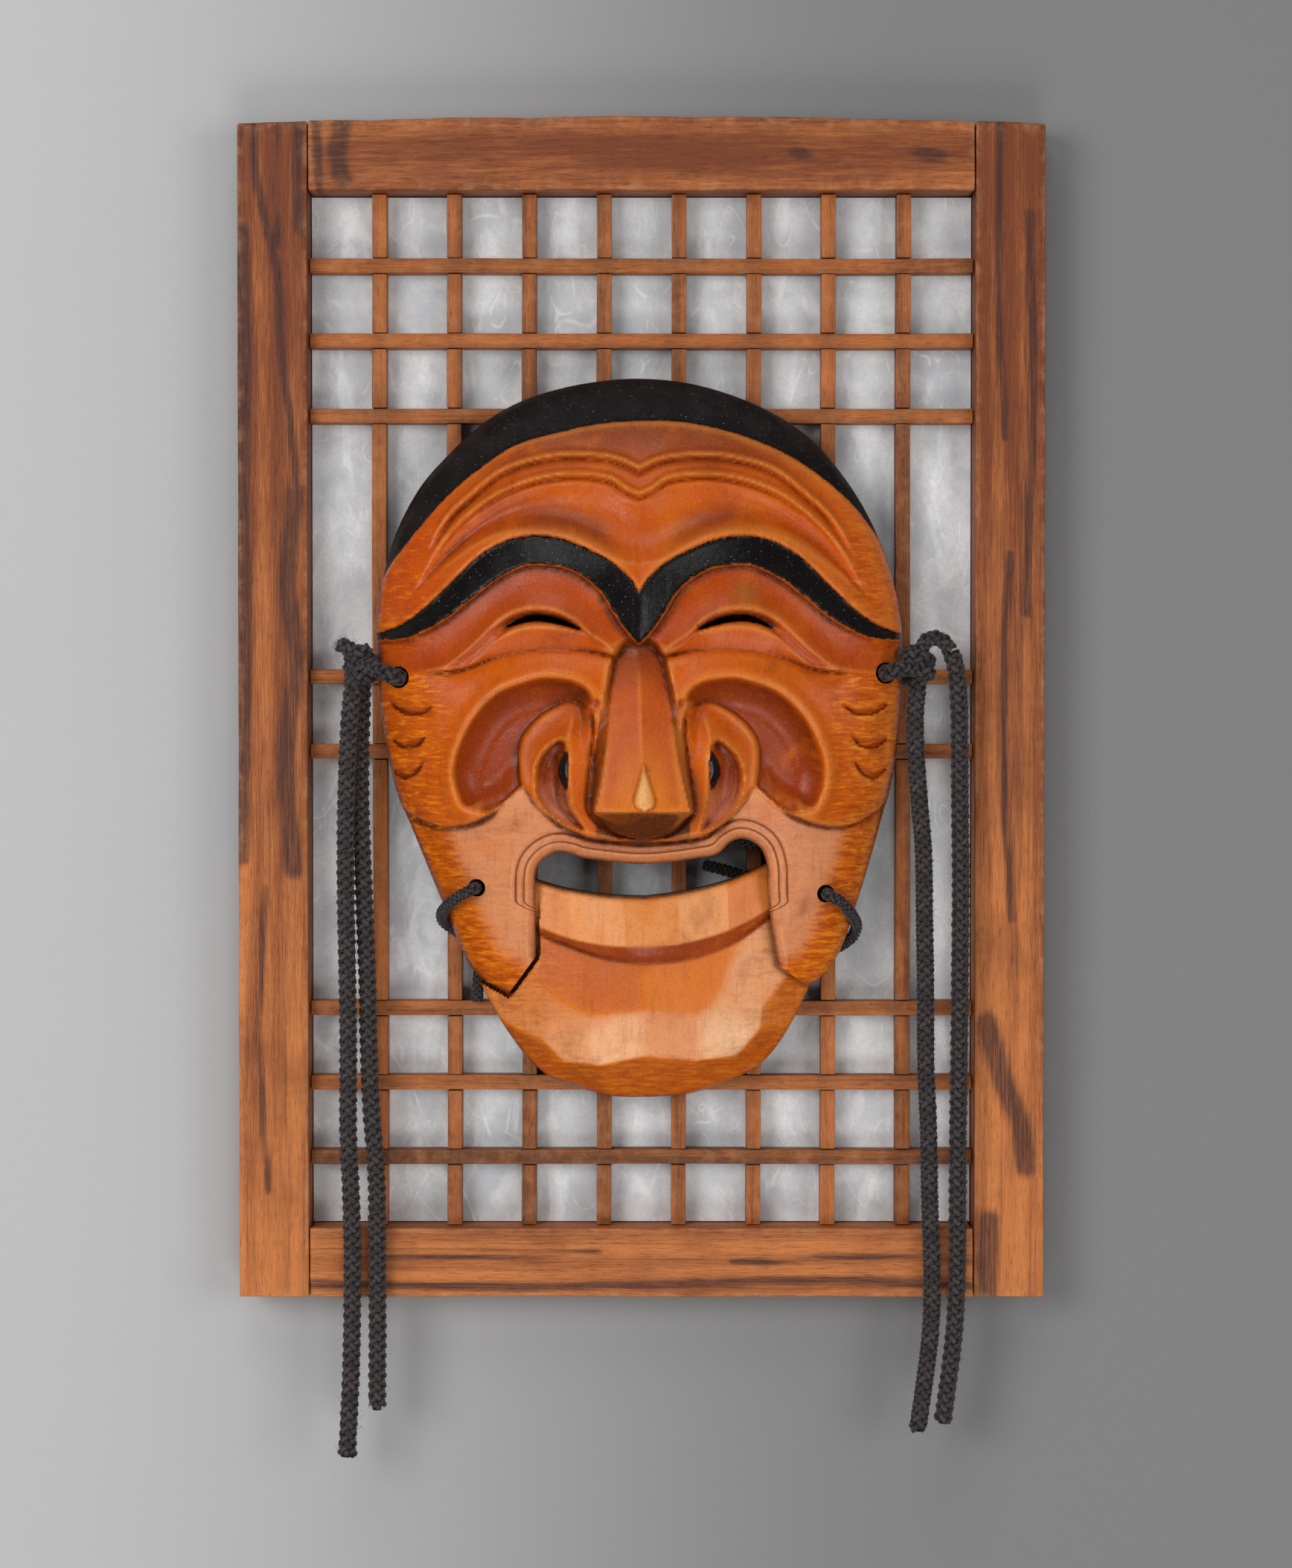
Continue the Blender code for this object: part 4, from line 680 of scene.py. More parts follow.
AMBER = srgb(192, 83, 14)
FOREHEAD_BROWN = srgb(126, 57, 29)
TEMPLE_ORANGE = srgb(198, 78, 6)
LID_RED = srgb(160, 56, 12)
CHEEK_ORANGE = srgb(202, 90, 8)
# Red-brown of the hollows: stained wood together with painted shade
HOLLOW_RED_AND_SHADE = srgb(128, 40, 10)
# Painted shade in the crescent cuts beside the eyes
CROW_CUT_SHADE = srgb(158, 58, 8)
NOSE_TAN = srgb(182, 76, 12)
# Painted highlight on the front and ridge of the nose
NOSE_HIGHLIGHT = srgb(226, 128, 26)
# Painted shade at the nose root and under the nose tip
NOSE_SHADE_BROWN = srgb(74, 26, 6)
# Painted highlight on the crest of the nose's pip
PIP_HIGHLIGHT_CREAM = srgb(255, 214, 148)
# Pale tan of the flat cheek flaps: painted reflection of the lights
FLAP_SHEEN_TAN = srgb(216, 142, 98)
FLAP_ORANGE = srgb(204, 96, 14)
# Painted shade: the sides of the nose, under the pip, in creases and on the jaw under the flaps
PAINTED_SHADE_BROWN = srgb(72, 26, 10)
# Lighter ridges: rubbed wear and painted highlight
WEAR_AND_HIGHLIGHT_HONEY = srgb(230, 142, 62)
# Pale honey of the lip band, partly a painted sheen
LIP_HONEY_AND_SHEEN = srgb(232, 156, 94)
# Painted shade on the slanted underside of the lower lip
UNDER_LIP_SHADE_RED = srgb(150, 58, 14)
CHIN_AMBER = srgb(212, 112, 32)
# Painted highlight and painted shade of the chin's lit and shaded facets
CHIN_FACET_HIGHLIGHT = srgb(250, 196, 150)
FACET_SHADE_BROWN = srgb(182, 86, 30)
# Painted reflection in the lower part of each nostril
NOSTRIL_REFLECTION = srgb(216, 142, 112)
LID_SPOT = srgb(132, 88, 36)
# Painted shade in the hollow band above the brows
VALLEY_SHADE_BROWN = srgb(128, 56, 26)
# Saturated orange of the chin's lowest band, drawn in more on its shaded facets
UNDER_CHIN_ORANGE = srgb(186, 82, 8)
INSIDE_BROWN = srgb(104, 62, 38)


# Materials
class Finish:
    """A material in the making, with short ways to add its nodes."""

    def __init__(self, name, roughness=0.5):
        self.material = bpy.data.materials.new(name)
        self.material.use_nodes = True
        self.tree = self.material.node_tree
        self.shader = self.tree.nodes["Principled BSDF"]
        self.shader.inputs["Roughness"].default_value = roughness

    def node(self, kind, inputs=(), **settings):
        made = self.tree.nodes.new("ShaderNode" + kind)
        for name, value in settings.items():
            setattr(made, name, value)
        for slot, value in dict(inputs).items():
            self.feed(made.inputs[slot], value)
        return made

    def feed(self, socket, value):
        if isinstance(value, bpy.types.NodeSocket):
            self.tree.links.new(value, socket)
        elif socket.type == "RGBA" and len(value) == 3:
            socket.default_value = (*value, 1)
        else:
            socket.default_value = value

    def set(self, **values):
        for name, value in values.items():
            self.feed(self.shader.inputs[name.replace("_", " ")], value)

    def place(self, scale=(1, 1, 1), turn=(0, 0, 0)):
        """Object coordinates in millimetres, stretched and turned."""
        coordinates = self.node("TexCoord").outputs["Object"]
        return self.node("Mapping", {"Vector": coordinates, "Rotation": turn,
                                     "Scale": [1000 * s for s in scale]}).outputs[0]

    def stored(self, name, kind="Fac"):
        return self.node("Attribute", attribute_name=name).outputs[kind]

    def stretch(self, vector, scale, shift=(0, 0, 0)):
        return self.node("Mapping", {"Vector": vector, "Scale": scale, "Location": shift}).outputs[0]

    def noise(self, vector, scale, detail=2.0, roughness=0.5, distortion=0.0):
        return self.node("TexNoise", {"Vector": vector, "Scale": scale, "Detail": detail,
                                      "Roughness": roughness, "Distortion": distortion}).outputs[0]

    def maths(self, operation, first, second=0.0):
        return self.node("Math", {0: first, 1: second}, operation=operation).outputs[0]

    def between(self, value, low, high, to_low=0.0, to_high=1.0):
        """Value moved smoothly from one range to another and held there."""
        return self.node("MapRange", {"Value": value, "From Min": low, "From Max": high,
                                      "To Min": to_low, "To Max": to_high},
                         interpolation_type="SMOOTHSTEP").outputs[0]

    def mix(self, share, first, second, blend="MIX"):
        return self.node("Mix", {0: share, 6: first, 7: second}, data_type="RGBA",
                         blend_type=blend).outputs[2]

    def bump(self, height, depth, strength=1.0, over=None):
        """Relief of a height field, depth in millimetres."""
        inputs = {"Height": height, "Distance": depth * MM, "Strength": strength}
        if over is not None:
            inputs["Normal"] = over
        return self.node("Bump", inputs).outputs[0]

    def fibres(self, vector, scale, width, detail=1.0):
        """Thin wandering lines, where a soft noise passes its middle value."""
        value = self.noise(vector, scale, detail, 0.4)
        off = self.maths("ABSOLUTE", self.maths("SUBTRACT", value, 0.5))
        return self.between(off, 0.0, width, 1.0, 0.0)


def wood_finish(name, pale, dark, streak, streaks, ring_width, worn, roughness):
    """Sawn and rubbed wood that reads its grain from the piece's own attribute."""
    made = Finish(name)
    grain = made.stored("grain", "Vector")
    tone = made.stored("tone")
    warp = made.noise(made.stretch(grain, (0.05, 0.05, 0.006)), 1.0, 3)
    drift = made.node("VectorMath", {0: grain, 1: made.node("CombineXYZ", {
        0: made.maths("MULTIPLY", warp, 14.0), 1: made.maths("MULTIPLY", warp, 9.0)}).outputs[0]},
        operation="ADD").outputs[0]
    away = made.node("VectorMath", {0: made.stretch(drift, (1, 1, 0.012), (9, 23, 0))},
                     operation="LENGTH").outputs["Value"]
    ring = made.maths("SINE", made.maths("MULTIPLY", away, 2 * math.pi / ring_width))
    ring = made.between(ring, -1.0, 1.0)
    fine = made.noise(made.stretch(grain, (1.9, 1.9, 0.06)), 1.0, 5, 0.7)
    pores = made.between(made.noise(made.stretch(grain, (5.0, 5.0, 0.22)), 1.0, 2), 0.58, 0.72)
    broad = made.noise(made.stretch(grain, (0.10, 0.10, 0.009)), 1.0, 4, 0.6)
    body = made.maths("ADD", made.maths("MULTIPLY", ring, 0.14),
                      made.maths("ADD", made.maths("MULTIPLY", fine, 0.7),
                                 made.maths("MULTIPLY", broad, 0.5)))
    body = made.between(made.maths("ADD", body, made.maths("MULTIPLY", tone, 0.34)), 0.42, 1.0)
    colour = made.mix(body, dark, pale)
    mottle = made.noise(made.place(), 0.035, 3, 0.6)
    colour = made.mix(made.between(mottle, 0.42, 0.72, 0.0, 0.45), colour, dark)
    lines = made.noise(made.stretch(grain, (0.55, 0.55, 0.007), (3, 7, 0)), 1.0, 3, 0.6)
    colour = made.mix(made.between(lines, streaks, streaks + 0.16, 0.0, 0.45), colour, streak)
    colour = made.mix(made.maths("MULTIPLY", pores, 0.45), colour, streak)
    torn = made.noise(made.stretch(grain, (0.9, 0.9, 0.05), (5, 1, 0)), 1.0, 4, 0.65)
    torn = made.maths("MULTIPLY", made.maths("SUBTRACT", torn, 0.5), 0.8)
    marked = made.between(made.maths("ADD", made.stored("figure"), torn), 0.15, 0.8)
    marked = made.maths("MULTIPLY", marked, made.between(fine, 0.7, 0.35, 0.62, 0.9))
    colour = made.mix(marked, colour, srgb(62, 34, 30))
    edge = made.stored("edge")
    rub = made.between(made.noise(made.place(), 0.16, 4, 0.7), 0.42, 0.68)
    colour = made.mix(made.maths("MULTIPLY", made.maths("MULTIPLY", edge, rub), 0.4), colour, worn)
    grime = made.stored("grime")
    colour = made.mix(made.maths("MULTIPLY", grime, 0.85), colour, streak)
    made.set(Base_Color=colour)
    made.set(Roughness=made.between(made.maths("SUBTRACT", fine, made.maths("MULTIPLY", pores, 0.2)),
                                    0.3, 0.75, roughness + 0.14, roughness))
    relief = made.maths("SUBTRACT", made.maths("ADD", made.maths("MULTIPLY", ring, 0.35), fine),
                        made.maths("MULTIPLY", pores, 0.9))
    knocks = made.noise(made.place(), 0.09, 3, 0.6)
    made.set(Normal=made.bump(relief, 0.09, 0.8, made.bump(knocks, 1.1, 0.35)))
    made.shader.inputs["Specular IOR Level"].default_value = 0.3
    return made.material


def paper_finish(settings):
    """Handmade mulberry paper: cloudy, with long loose fibres in it."""
    made = Finish("mulberry paper sheet", 0.88)
    flat = made.place()
    cloud = made.noise(flat, 0.045, 4, 0.6)
    colour = made.mix(made.between(cloud, 0.3, 0.72), settings.shade_colour, settings.paper_colour)
    veil = made.noise(made.place((1, 1, 0.4), (0, 0.5, 0)), 0.10, 3, 0.55, 0.6)
    colour = made.mix(made.between(veil, 0.5, 0.68, 0.0, 0.5), colour, srgb(244, 246, 246))
    pulp = made.noise(flat, 0.9, 4, 0.7)
    colour = made.mix(made.between(pulp, 0.35, 0.7, 0.0, 0.22), colour, srgb(170, 168, 166))
    strands = 0.0
    for scale, width, turn in ((0.05, 0.006, 0.3), (0.075, 0.007, 1.4), (0.11, 0.009, 2.5), (0.03, 0.009, 3.6)):
        line = made.fibres(made.place((1, 1, 0.45), (0.4 * turn, turn, 0.2)), scale, width, 1.0)
        seen = made.between(made.noise(made.place((1, 1, 1), (turn, 0, 0)), 0.11, 2), 0.46, 0.6)
        strands = made.maths("MAXIMUM", strands, made.maths("MULTIPLY", line, seen))
    colour = made.mix(made.maths("MULTIPLY", strands, 0.42), colour, srgb(248, 248, 244))
    flecks = made.between(made.noise(made.place((1.4, 1, 0.35)), 1.3, 2), 0.71, 0.76)
    colour = made.mix(made.maths("MULTIPLY", flecks, 0.4), colour, srgb(128, 118, 104))
    made.set(Base_Color=colour)
    relief = made.maths("ADD", made.maths("MULTIPLY", strands, 0.6), pulp)
    made.set(Normal=made.bump(relief, 0.12, 0.7, made.bump(made.noise(flat, 0.03, 2), 1.6, 0.5)))
    made.shader.inputs["Specular IOR Level"].default_value = 0.25
    return made.material


def varnished_finish(settings):
    """Stained, varnished and handled mask wood, with its painted hair and brows, and the painted shade and
    highlights carried in its colour attribute.
    """
    made = Finish("varnished carved wood")
    flat = made.place()
    stain_and_light = made.stored("stain_and_light", "Color")
    patches = made.noise(flat, 0.055, 4, 0.62, 0.4)
    colour = made.mix(made.between(patches, 0.52, 0.74, 0.0, 0.42), stain_and_light, settings.dark_varnish)
    colour = made.mix(made.between(patches, 0.5, 0.25, 0.0, 0.45), colour, settings.pale_varnish)
    streaks = made.noise(made.place((0.8, 0.3, 0.07)), 1.0, 4, 0.6)
    colour = made.mix(made.between(streaks, 0.5, 0.75, 0.0, 0.22), colour, settings.dark_varnish)
    speckle = made.noise(flat, 1.9, 4, 0.72)
    colour = made.mix(made.between(speckle, 0.5, 0.7, 0.0, 0.42), colour, srgb(132, 50, 6))
    colour = made.mix(made.between(speckle, 0.48, 0.3, 0.0, 0.3), colour, srgb(236, 132, 34))
    figure = made.noise(made.place((0.26, 0.3, 1.5), (0, 0.12, 0)), 0.55, 3, 0.6, 0.6)
    share = made.stored("ripple")
    ripple = made.maths("MULTIPLY", made.between(figure, 0.5, 0.62), share)
    colour = made.mix(made.maths("MULTIPLY", ripple, 0.6), colour, srgb(150, 58, 4))
    # Bright stripes across the ripple figure: painted glints
    glint = made.maths("MULTIPLY", made.between(figure, 0.47, 0.36), share)
    colour = made.mix(made.maths("MULTIPLY", glint, 0.5), colour, srgb(246, 150, 22))
    # Dark lines along the two grooves beside the mouth: painted shade in the grooves
    gap = made.stored("mouth_gap")
    lines = made.maths("MAXIMUM", *(
        made.between(made.maths("ABSOLUTE", made.maths("SUBTRACT", gap, at)), 0.1, 0.42, 1.0, 0.0)
        for at in (3.6, 6.2)))
    colour = made.mix(made.maths("MULTIPLY", lines, 0.7), colour, srgb(104, 42, 14))
    wobble = made.maths("MULTIPLY", made.maths("SUBTRACT", made.noise(flat, 0.5, 4, 0.7), 0.5), 1.6)
    paint = made.maths("ADD", made.stored("paint"), wobble)
    painted = made.between(paint, -0.15, 0.35)
    brow = made.stored("brow")
    cloudy = made.maths("MULTIPLY", made.between(made.noise(flat, 0.12, 3), 0.4, 0.7),
                        made.maths("SUBTRACT", 1.0, brow))
    # Black of the hair and brows, also used for the painted shade round the nostrils
    black_paint_and_shade = made.mix(cloudy, settings.paint_colour, srgb(28, 25, 25))
    specks = made.between(made.noise(flat, 1.5, 1), 0.72, 0.77)
    black_paint_and_shade = made.mix(made.maths("MULTIPLY", specks, 0.6), black_paint_and_shade, srgb(150, 146, 142))
    rubbed = made.between(made.noise(flat, 1.1, 4, 0.75), 0.62, 0.74)
    painted = made.maths("MULTIPLY", painted, made.maths("SUBTRACT", 1.0,
                                                       made.maths("MULTIPLY", rubbed, 0.35)))
    colour = made.mix(painted, colour, black_paint_and_shade)
    # Near-black in the creases, in patches
    crease_dark = made.maths("MULTIPLY", made.stored("crease"),
                      made.between(made.noise(flat, 0.35, 4, 0.7), 0.4, 0.66))
    colour = made.mix(made.maths("MULTIPLY", crease_dark, 0.5), colour, srgb(20, 12, 9))
    inside = made.stored("inside")
    colour = made.mix(inside, colour, made.mix(streaks, INSIDE_BROWN, srgb(70, 40, 24)))
    made.set(Base_Color=colour)
    gloss = made.between(made.noise(flat, 0.14, 4, 0.65), 0.3, 0.7, 0.20, 0.36)
    gloss = made.maths("ADD", gloss, made.maths("MULTIPLY", inside, 0.4))
    matt = made.maths("MULTIPLY", painted, made.maths("SUBTRACT", 0.3, made.maths("MULTIPLY", brow, 0.34)))
    made.set(Roughness=made.maths("ADD", gloss, matt))
    cuts = made.node("TexVoronoi", {"Vector": made.place((1, 1, 0.55), (0, 0.2, 0)), "Scale": 0.085,
                                    "Smoothness": 0.35}, feature="SMOOTH_F1").outputs["Distance"]
    over = made.bump(cuts, 0.9, 0.4)
    over = made.bump(made.noise(flat, 0.42, 3, 0.55), 0.24, 0.45, over)
    over = made.bump(made.maths("SUBTRACT", 1.0, lines), 0.35, 0.9, over)
    made.set(Normal=made.bump(made.maths("ADD", speckle, made.maths("MULTIPLY", streaks, 0.6)),
                              0.075, 0.75, over))
    made.shader.inputs["Specular IOR Level"].default_value = 0.22
    return made.material


def cord_finish(name, settings, hair_pale=0.35):
    """Soft charcoal yarn: each strand a little different, with pale loose fibres, and painted shade where a
    strand passes under others and along its sides.
    """
    made = Finish(name, 0.92)
    strand, along, around = made.stored("strand"), made.stored("along"), made.stored("around")
    flow = made.node("CombineXYZ", {0: made.maths("MULTIPLY", around, 2.4),
                                    1: made.maths("MULTIPLY", along, 0.55),
                                    2: made.maths("MULTIPLY", strand, 37.0)}).outputs[0]
    yarn = made.noise(flow, 1.6, 4, 0.7)
    colour = made.mix(made.between(yarn, 0.3, 0.72), settings.deep_colour, settings.yarn_colour)
    colour = made.mix(made.maths("MULTIPLY", strand, 0.25), colour, settings.pale_yarn_colour)
    lint = made.between(made.noise(made.place(), 2.6, 3, 0.8), 0.6, 0.75)
    colour = made.mix(made.maths("MULTIPLY", lint, hair_pale), colour, settings.pale_yarn_colour)
    # Painted shade where a strand passes under the others
    under_strand_shade = made.between(made.stored("over"), 0.6, -0.6, 0.0, 0.94)
    # Painted shade along the sides of each strand
    edge = made.between(made.maths("ABSOLUTE", around), 0.4, 1.0, 0.0, 0.85)
    colour = made.mix(made.maths("MAXIMUM", under_strand_shade, edge), colour, srgb(12, 9, 10))
    made.set(Base_Color=colour)
    twill = made.maths("SINE", made.maths("ADD", made.maths("MULTIPLY", along, 7.5),
                                          made.maths("MULTIPLY", around, 6.3)))
    over = made.bump(twill, 0.10, 0.6)
    made.set(Normal=made.bump(yarn, 0.16, 0.8, over))
    made.shader.inputs["Sheen Weight"].default_value = 0.12
    made.shader.inputs["Sheen Roughness"].default_value = 0.5
    made.shader.inputs["Specular IOR Level"].default_value = 0.22
    return made.material


# Mesh helpers
def start():
    """Object mode with nothing selected, ready for a primitive."""
    if bpy.context.mode != "OBJECT":
        bpy.ops.object.mode_set(mode="OBJECT")
    bpy.ops.object.select_all(action="DESELECT")


def named(name):
    item = bpy.context.object
    item.name = name
    item.data.name = name
    return item


def places(item):
    co = np.zeros(len(item.data.vertices) * 3)
    item.data.vertices.foreach_get("co", co)
    return co.reshape(-1, 3)


def put_places(item, co):
    item.data.vertices.foreach_set("co", np.ascontiguousarray(co, dtype=np.float32).ravel())
    item.data.update()


def store(item, name, values, kind="FLOAT"):
    """Keep one value a vertex on a mesh for its material to read."""
    key = {"FLOAT": "value", "FLOAT_VECTOR": "vector", "FLOAT_COLOR": "color"}[kind]
    made = item.data.attributes.new(name, kind, "POINT")
    made.data.foreach_set(key, np.ascontiguousarray(values, dtype=np.float32).ravel())


def apply_all(item):
    start()
    item.select_set(True)
    bpy.context.view_layer.objects.active = item
    for modifier in list(item.modifiers):
        bpy.ops.object.modifier_apply(modifier=modifier.name)


def smooth(item, degrees):
    start()
    item.select_set(True)
    bpy.context.view_layer.objects.active = item
    bpy.ops.object.shade_smooth_by_angle(angle=math.radians(degrees))


def dress(item, surface, slot, *nodes):
    """Give a finished piece its material and its body, and hide the solids it stands for; its slot is not used.
    """
    item.data.materials.clear()
    item.data.materials.append(surface)
    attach(item, "root")
    if nodes:
        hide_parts(*nodes)
    return item


def soft_noise(co, scale, seed):
    """Smooth random value of points between about -1 and 1, scale in turns a millimetre."""
    rng = np.random.default_rng(seed)
    total = np.zeros(len(co))
    for octave in range(3):
        for _ in range(4):
            way = rng.normal(size=3)
            way /= np.linalg.norm(way)
            turn = co @ way * (1000 * scale * 2 ** octave * 2 * math.pi)
            total += np.sin(turn + rng.uniform(0, 2 * math.pi)) / 2 ** octave
    return total / 4


# Wooden members
def member(name, low, high, edge, along, wear, seed, cell=1.8 * MM):
    """Sawn and rubbed piece of wood between two corners, its grain along one axis."""
    low, high = np.array(low), np.array(high)
    start()
    bpy.ops.mesh.primitive_cube_add(size=1)
    item = named(name)
    put_places(item, places(item) * (high - low) + (low + high) / 2)
    bpy.ops.object.mode_set(mode="EDIT")
    work = bmesh.from_edit_mesh(item.data)
    for axis in range(3):
        cuts = int((high - low)[axis] / cell) - 1
        edges = [e for e in work.edges
                 if abs(e.verts[0].co[axis] - e.verts[1].co[axis]) > 0.5 * cell
                 and abs(e.verts[0].co[axis] - e.verts[1].co[axis]) > 0.9 * (high - low)[axis]]
        if cuts > 0:
            bmesh.ops.subdivide_edges(work, edges=edges, cuts=cuts, use_grid_fill=True)
    bmesh.update_edit_mesh(item.data)
    bpy.ops.object.mode_set(mode="OBJECT")
    bevel = item.modifiers.new("rubbed edges", "BEVEL")
    bevel.width, bevel.segments, bevel.limit_method = edge, 3, "ANGLE"
    apply_all(item)
    wear_edges(item, low, high, wear, seed)
    grain_of(item, along, seed)
    return item


def edge_share(co, low, high, reach):
    """How near each point is to an edge of a box: 1 on the edge and 0 past reach."""
    off = np.sort(np.minimum(np.abs(co - low), np.abs(high - co)), axis=1)
    return np.clip(1 - np.hypot(off[:, 0], off[:, 1]) / reach, 0, 1)


def wear_edges(item, low, high, wear, seed):
    """Rub a piece's edges and faces inwards by a small uneven amount."""
    co = places(item)
    near = edge_share(co, low, high, 3.5 * MM)
    middle = (low + high) / 2
    rub = 0.5 + 0.5 * soft_noise(co, 0.035, seed)
    push = wear * (0.25 * rub + near * np.clip(rub, 0, 1) ** 2)
    size = (high - low) / 2
    away = (co - middle) / size
    away = np.where(np.abs(away) > 0.8, np.sign(away), 0)
    put_places(item, co - away * push[:, None])
    store(item, "edge", edge_share(places(item), low, high, 3.0 * MM) ** 1.5)


def figure_of(item, name):
    """Store where a frame board's dark heartwood streaks run, and its slow change of tone."""
    co = places(item) / MM
    share = np.zeros(len(co))
    for line, width in BOARD_FIGURE[name]:
        share = np.maximum(share, bump(distance(smooth_line(line), co[:, 0], co[:, 2]), width))
    store(item, "figure", share)
    if name.startswith("stile"):
        item.data.attributes.remove(item.data.attributes["tone"])
        store(item, "tone", np.interp(co[:, 2], (-374, -180, 12), (0.55, 0.1, -0.7)))


def grain_of(item, along, seed, grime=None):
    """Store the wood's own coordinates, in millimetres, with the grain on the third axis."""
    co = places(item) / MM
    rng = np.random.default_rng(seed)
    order = {"x": (1, 2, 0), "z": (0, 1, 2)}[along]
    grain = co[:, order] + rng.uniform(-60, 60, 3) * (0.25, 0.25, 3)
    store(item, "grain", grain, "FLOAT_VECTOR")
    store(item, "tone", np.full(len(co), rng.uniform(-0.5, 0.5)))
    store(item, "grime", np.zeros(len(co)) if grime is None else grime)


def top_edge(x):
    return FRAME_TOP - FRAME_TOP_BOW * (x / FRAME_HALF_WIDTH) ** 2


def bow_top(item):
    """Draw the top of a member up to the frame's shallow bow."""
    co = places(item)
    share = (co[:, 2] - OPENING_TOP) / -OPENING_TOP
    co[:, 2] += top_edge(co[:, 0]) * np.clip(share, 0, 1)
    put_places(item, co)


def bar_places():
    across = [(i - (VERTICAL_BARS - 1) / 2) * BAR_PITCH for i in range(VERTICAL_BARS)]
    up = [top - i * BAR_PITCH for top, count in zip(GROUP_TOPS, GROUP_SIZES) for i in range(count)]
    return across, up


def bar(name, low, high, along, crossings, notch_in_front, seed):
    """Lattice bar: a box with half its depth cut away where the other bars cross it."""
    low, high = np.array(low), np.array(high)
    start()
    bpy.ops.mesh.primitive_cube_add(size=1)
    item = named(name)
    put_places(item, places(item) * (high - low) + (low + high) / 2)
    axis = {"x": 0, "z": 2}[along]
    reach = BAR_WIDTH / 2 + GAP
    middle = -(BAR_FRONT + BAR_BACK) / 2
    for number, place in enumerate(crossings):
        centre, size = (low + high) / 2, (high - low) * 1.5
        centre[axis], size[axis] = place, 2 * reach
        ends = (-BAR_FRONT - 1 * MM, middle + GAP / 2) if notch_in_front else (middle - GAP / 2, 0.0)
        centre[1], size[1] = sum(ends) / 2, ends[1] - ends[0]
        start()
        bpy.ops.mesh.primitive_cube_add(size=1)
        cutter = named(f"{name}_cutter_{number}")
        put_places(cutter, places(cutter) * size + centre)
        notch = item.modifiers.new("half lap", "BOOLEAN")
        notch.operation, notch.object, notch.solver = "DIFFERENCE", cutter, "EXACT"
        apply_all(item)
        bpy.data.objects.remove(cutter)
    bevel = item.modifiers.new("eased edges", "BEVEL")
    bevel.width, bevel.segments, bevel.limit_method = 0.35 * MM, 2, "ANGLE"
    apply_all(item)
    finish_bar(item, along, crossings, low, high, seed)
    return item


def finish_bar(item, along, crossings, low, high, seed):
    """Cut a bar into short lengths so that its wear and grime can vary along it."""
    axis = {"x": 0, "z": 2}[along]
    start()
    item.select_set(True)
    bpy.context.view_layer.objects.active = item
    bpy.ops.object.mode_set(mode="EDIT")
    normal = [0, 0, 0]
    normal[axis] = 1
    for place in np.arange(low[axis] + 3 * MM, high[axis] - 2 * MM, 6.2 * MM):
        point = [0, 0, 0]
        point[axis] = place
        bpy.ops.mesh.select_all(action="SELECT")
        bpy.ops.mesh.bisect(plane_co=point, plane_no=normal)
    bpy.ops.object.mode_set(mode="OBJECT")
    settle_bar(item, along, crossings, low, high, seed)


def settle_bar(item, along, crossings, low, high, seed):
    """Give a bar its own slight wander and the attributes its wood reads."""
    axis = {"x": 0, "z": 2}[along]
    co = places(item)
    cross = 2 - axis
    co[:, cross] += 0.14 * MM * soft_noise(co * np.eye(3)[axis], 0.006, seed)
    co[:, 1] += 0.10 * MM * np.clip(soft_noise(co, 0.02, seed + 5), 0, 1)
    put_places(item, co)
    nearest = np.min([np.abs(co[:, axis] - place) for place in crossings], axis=0)
    grime = np.clip(1 - nearest / (7.5 * MM), 0, 1) * 0.32
    for name in ("edge", "grain", "tone", "grime"):
        if name in item.data.attributes:
            item.data.attributes.remove(item.data.attributes[name])
    store(item, "edge", edge_share(co, low, high, 1.4 * MM) * 0.8)
    grain_of(item, along, seed, grime)


# Carved pieces
def drop_pinched(work):
    """Remove vertices where a flat sheet touches itself at a point, and what they leave loose."""
    pinched = True
    while pinched:
        pinched = [v for v in work.verts if sum(e.is_boundary for e in v.link_edges) > 2]
        bmesh.ops.delete(work, geom=pinched, context="VERTS")
        bmesh.ops.delete(work, geom=[e for e in work.edges if not e.link_faces], context="EDGES")
        bmesh.ops.delete(work, geom=[v for v in work.verts if not v.link_faces], context="VERTS")


def cut_sheet(name, outline, holes, spacing):
    """Grid primitive cut back to an outline and holes in edit mode, its edge drawn onto them."""
    low, high = outline.min(0) - spacing, outline.max(0) + spacing
    counts = np.ceil((high - low) / spacing).astype(int)
    start()
    bpy.ops.mesh.primitive_grid_add(x_subdivisions=int(counts[0]), y_subdivisions=int(counts[1]), size=1)
    item = named(name)
    flat = places(item)
    flat[:, :2] = low + (flat[:, :2] + 0.5) * counts * spacing
    put_places(item, flat)
    middles = np.zeros(len(item.data.polygons) * 3)
    item.data.polygons.foreach_get("center", middles)
    middles = middles.reshape(-1, 3)
    keep = within(outline, middles[:, 0], middles[:, 1])
    for hole in holes:
        keep &= ~within(hole, middles[:, 0], middles[:, 1])
    bpy.ops.object.mode_set(mode="EDIT")
    bpy.ops.mesh.select_mode(type="FACE")
    bpy.ops.mesh.select_all(action="DESELECT")
    work = bmesh.from_edit_mesh(item.data)
    for face, kept in zip(work.faces, keep):
        face.select_set(not kept)
    bpy.ops.mesh.delete(type="FACE")
    work = bmesh.from_edit_mesh(item.data)
    drop_pinched(work)
    draw_to_line(work, [outline, *holes])
    bmesh.ops.remove_doubles(work, verts=work.verts, dist=0.3 * spacing)
    drop_pinched(work)
    bmesh.update_edit_mesh(item.data)
    bpy.ops.object.mode_set(mode="OBJECT")
    return item


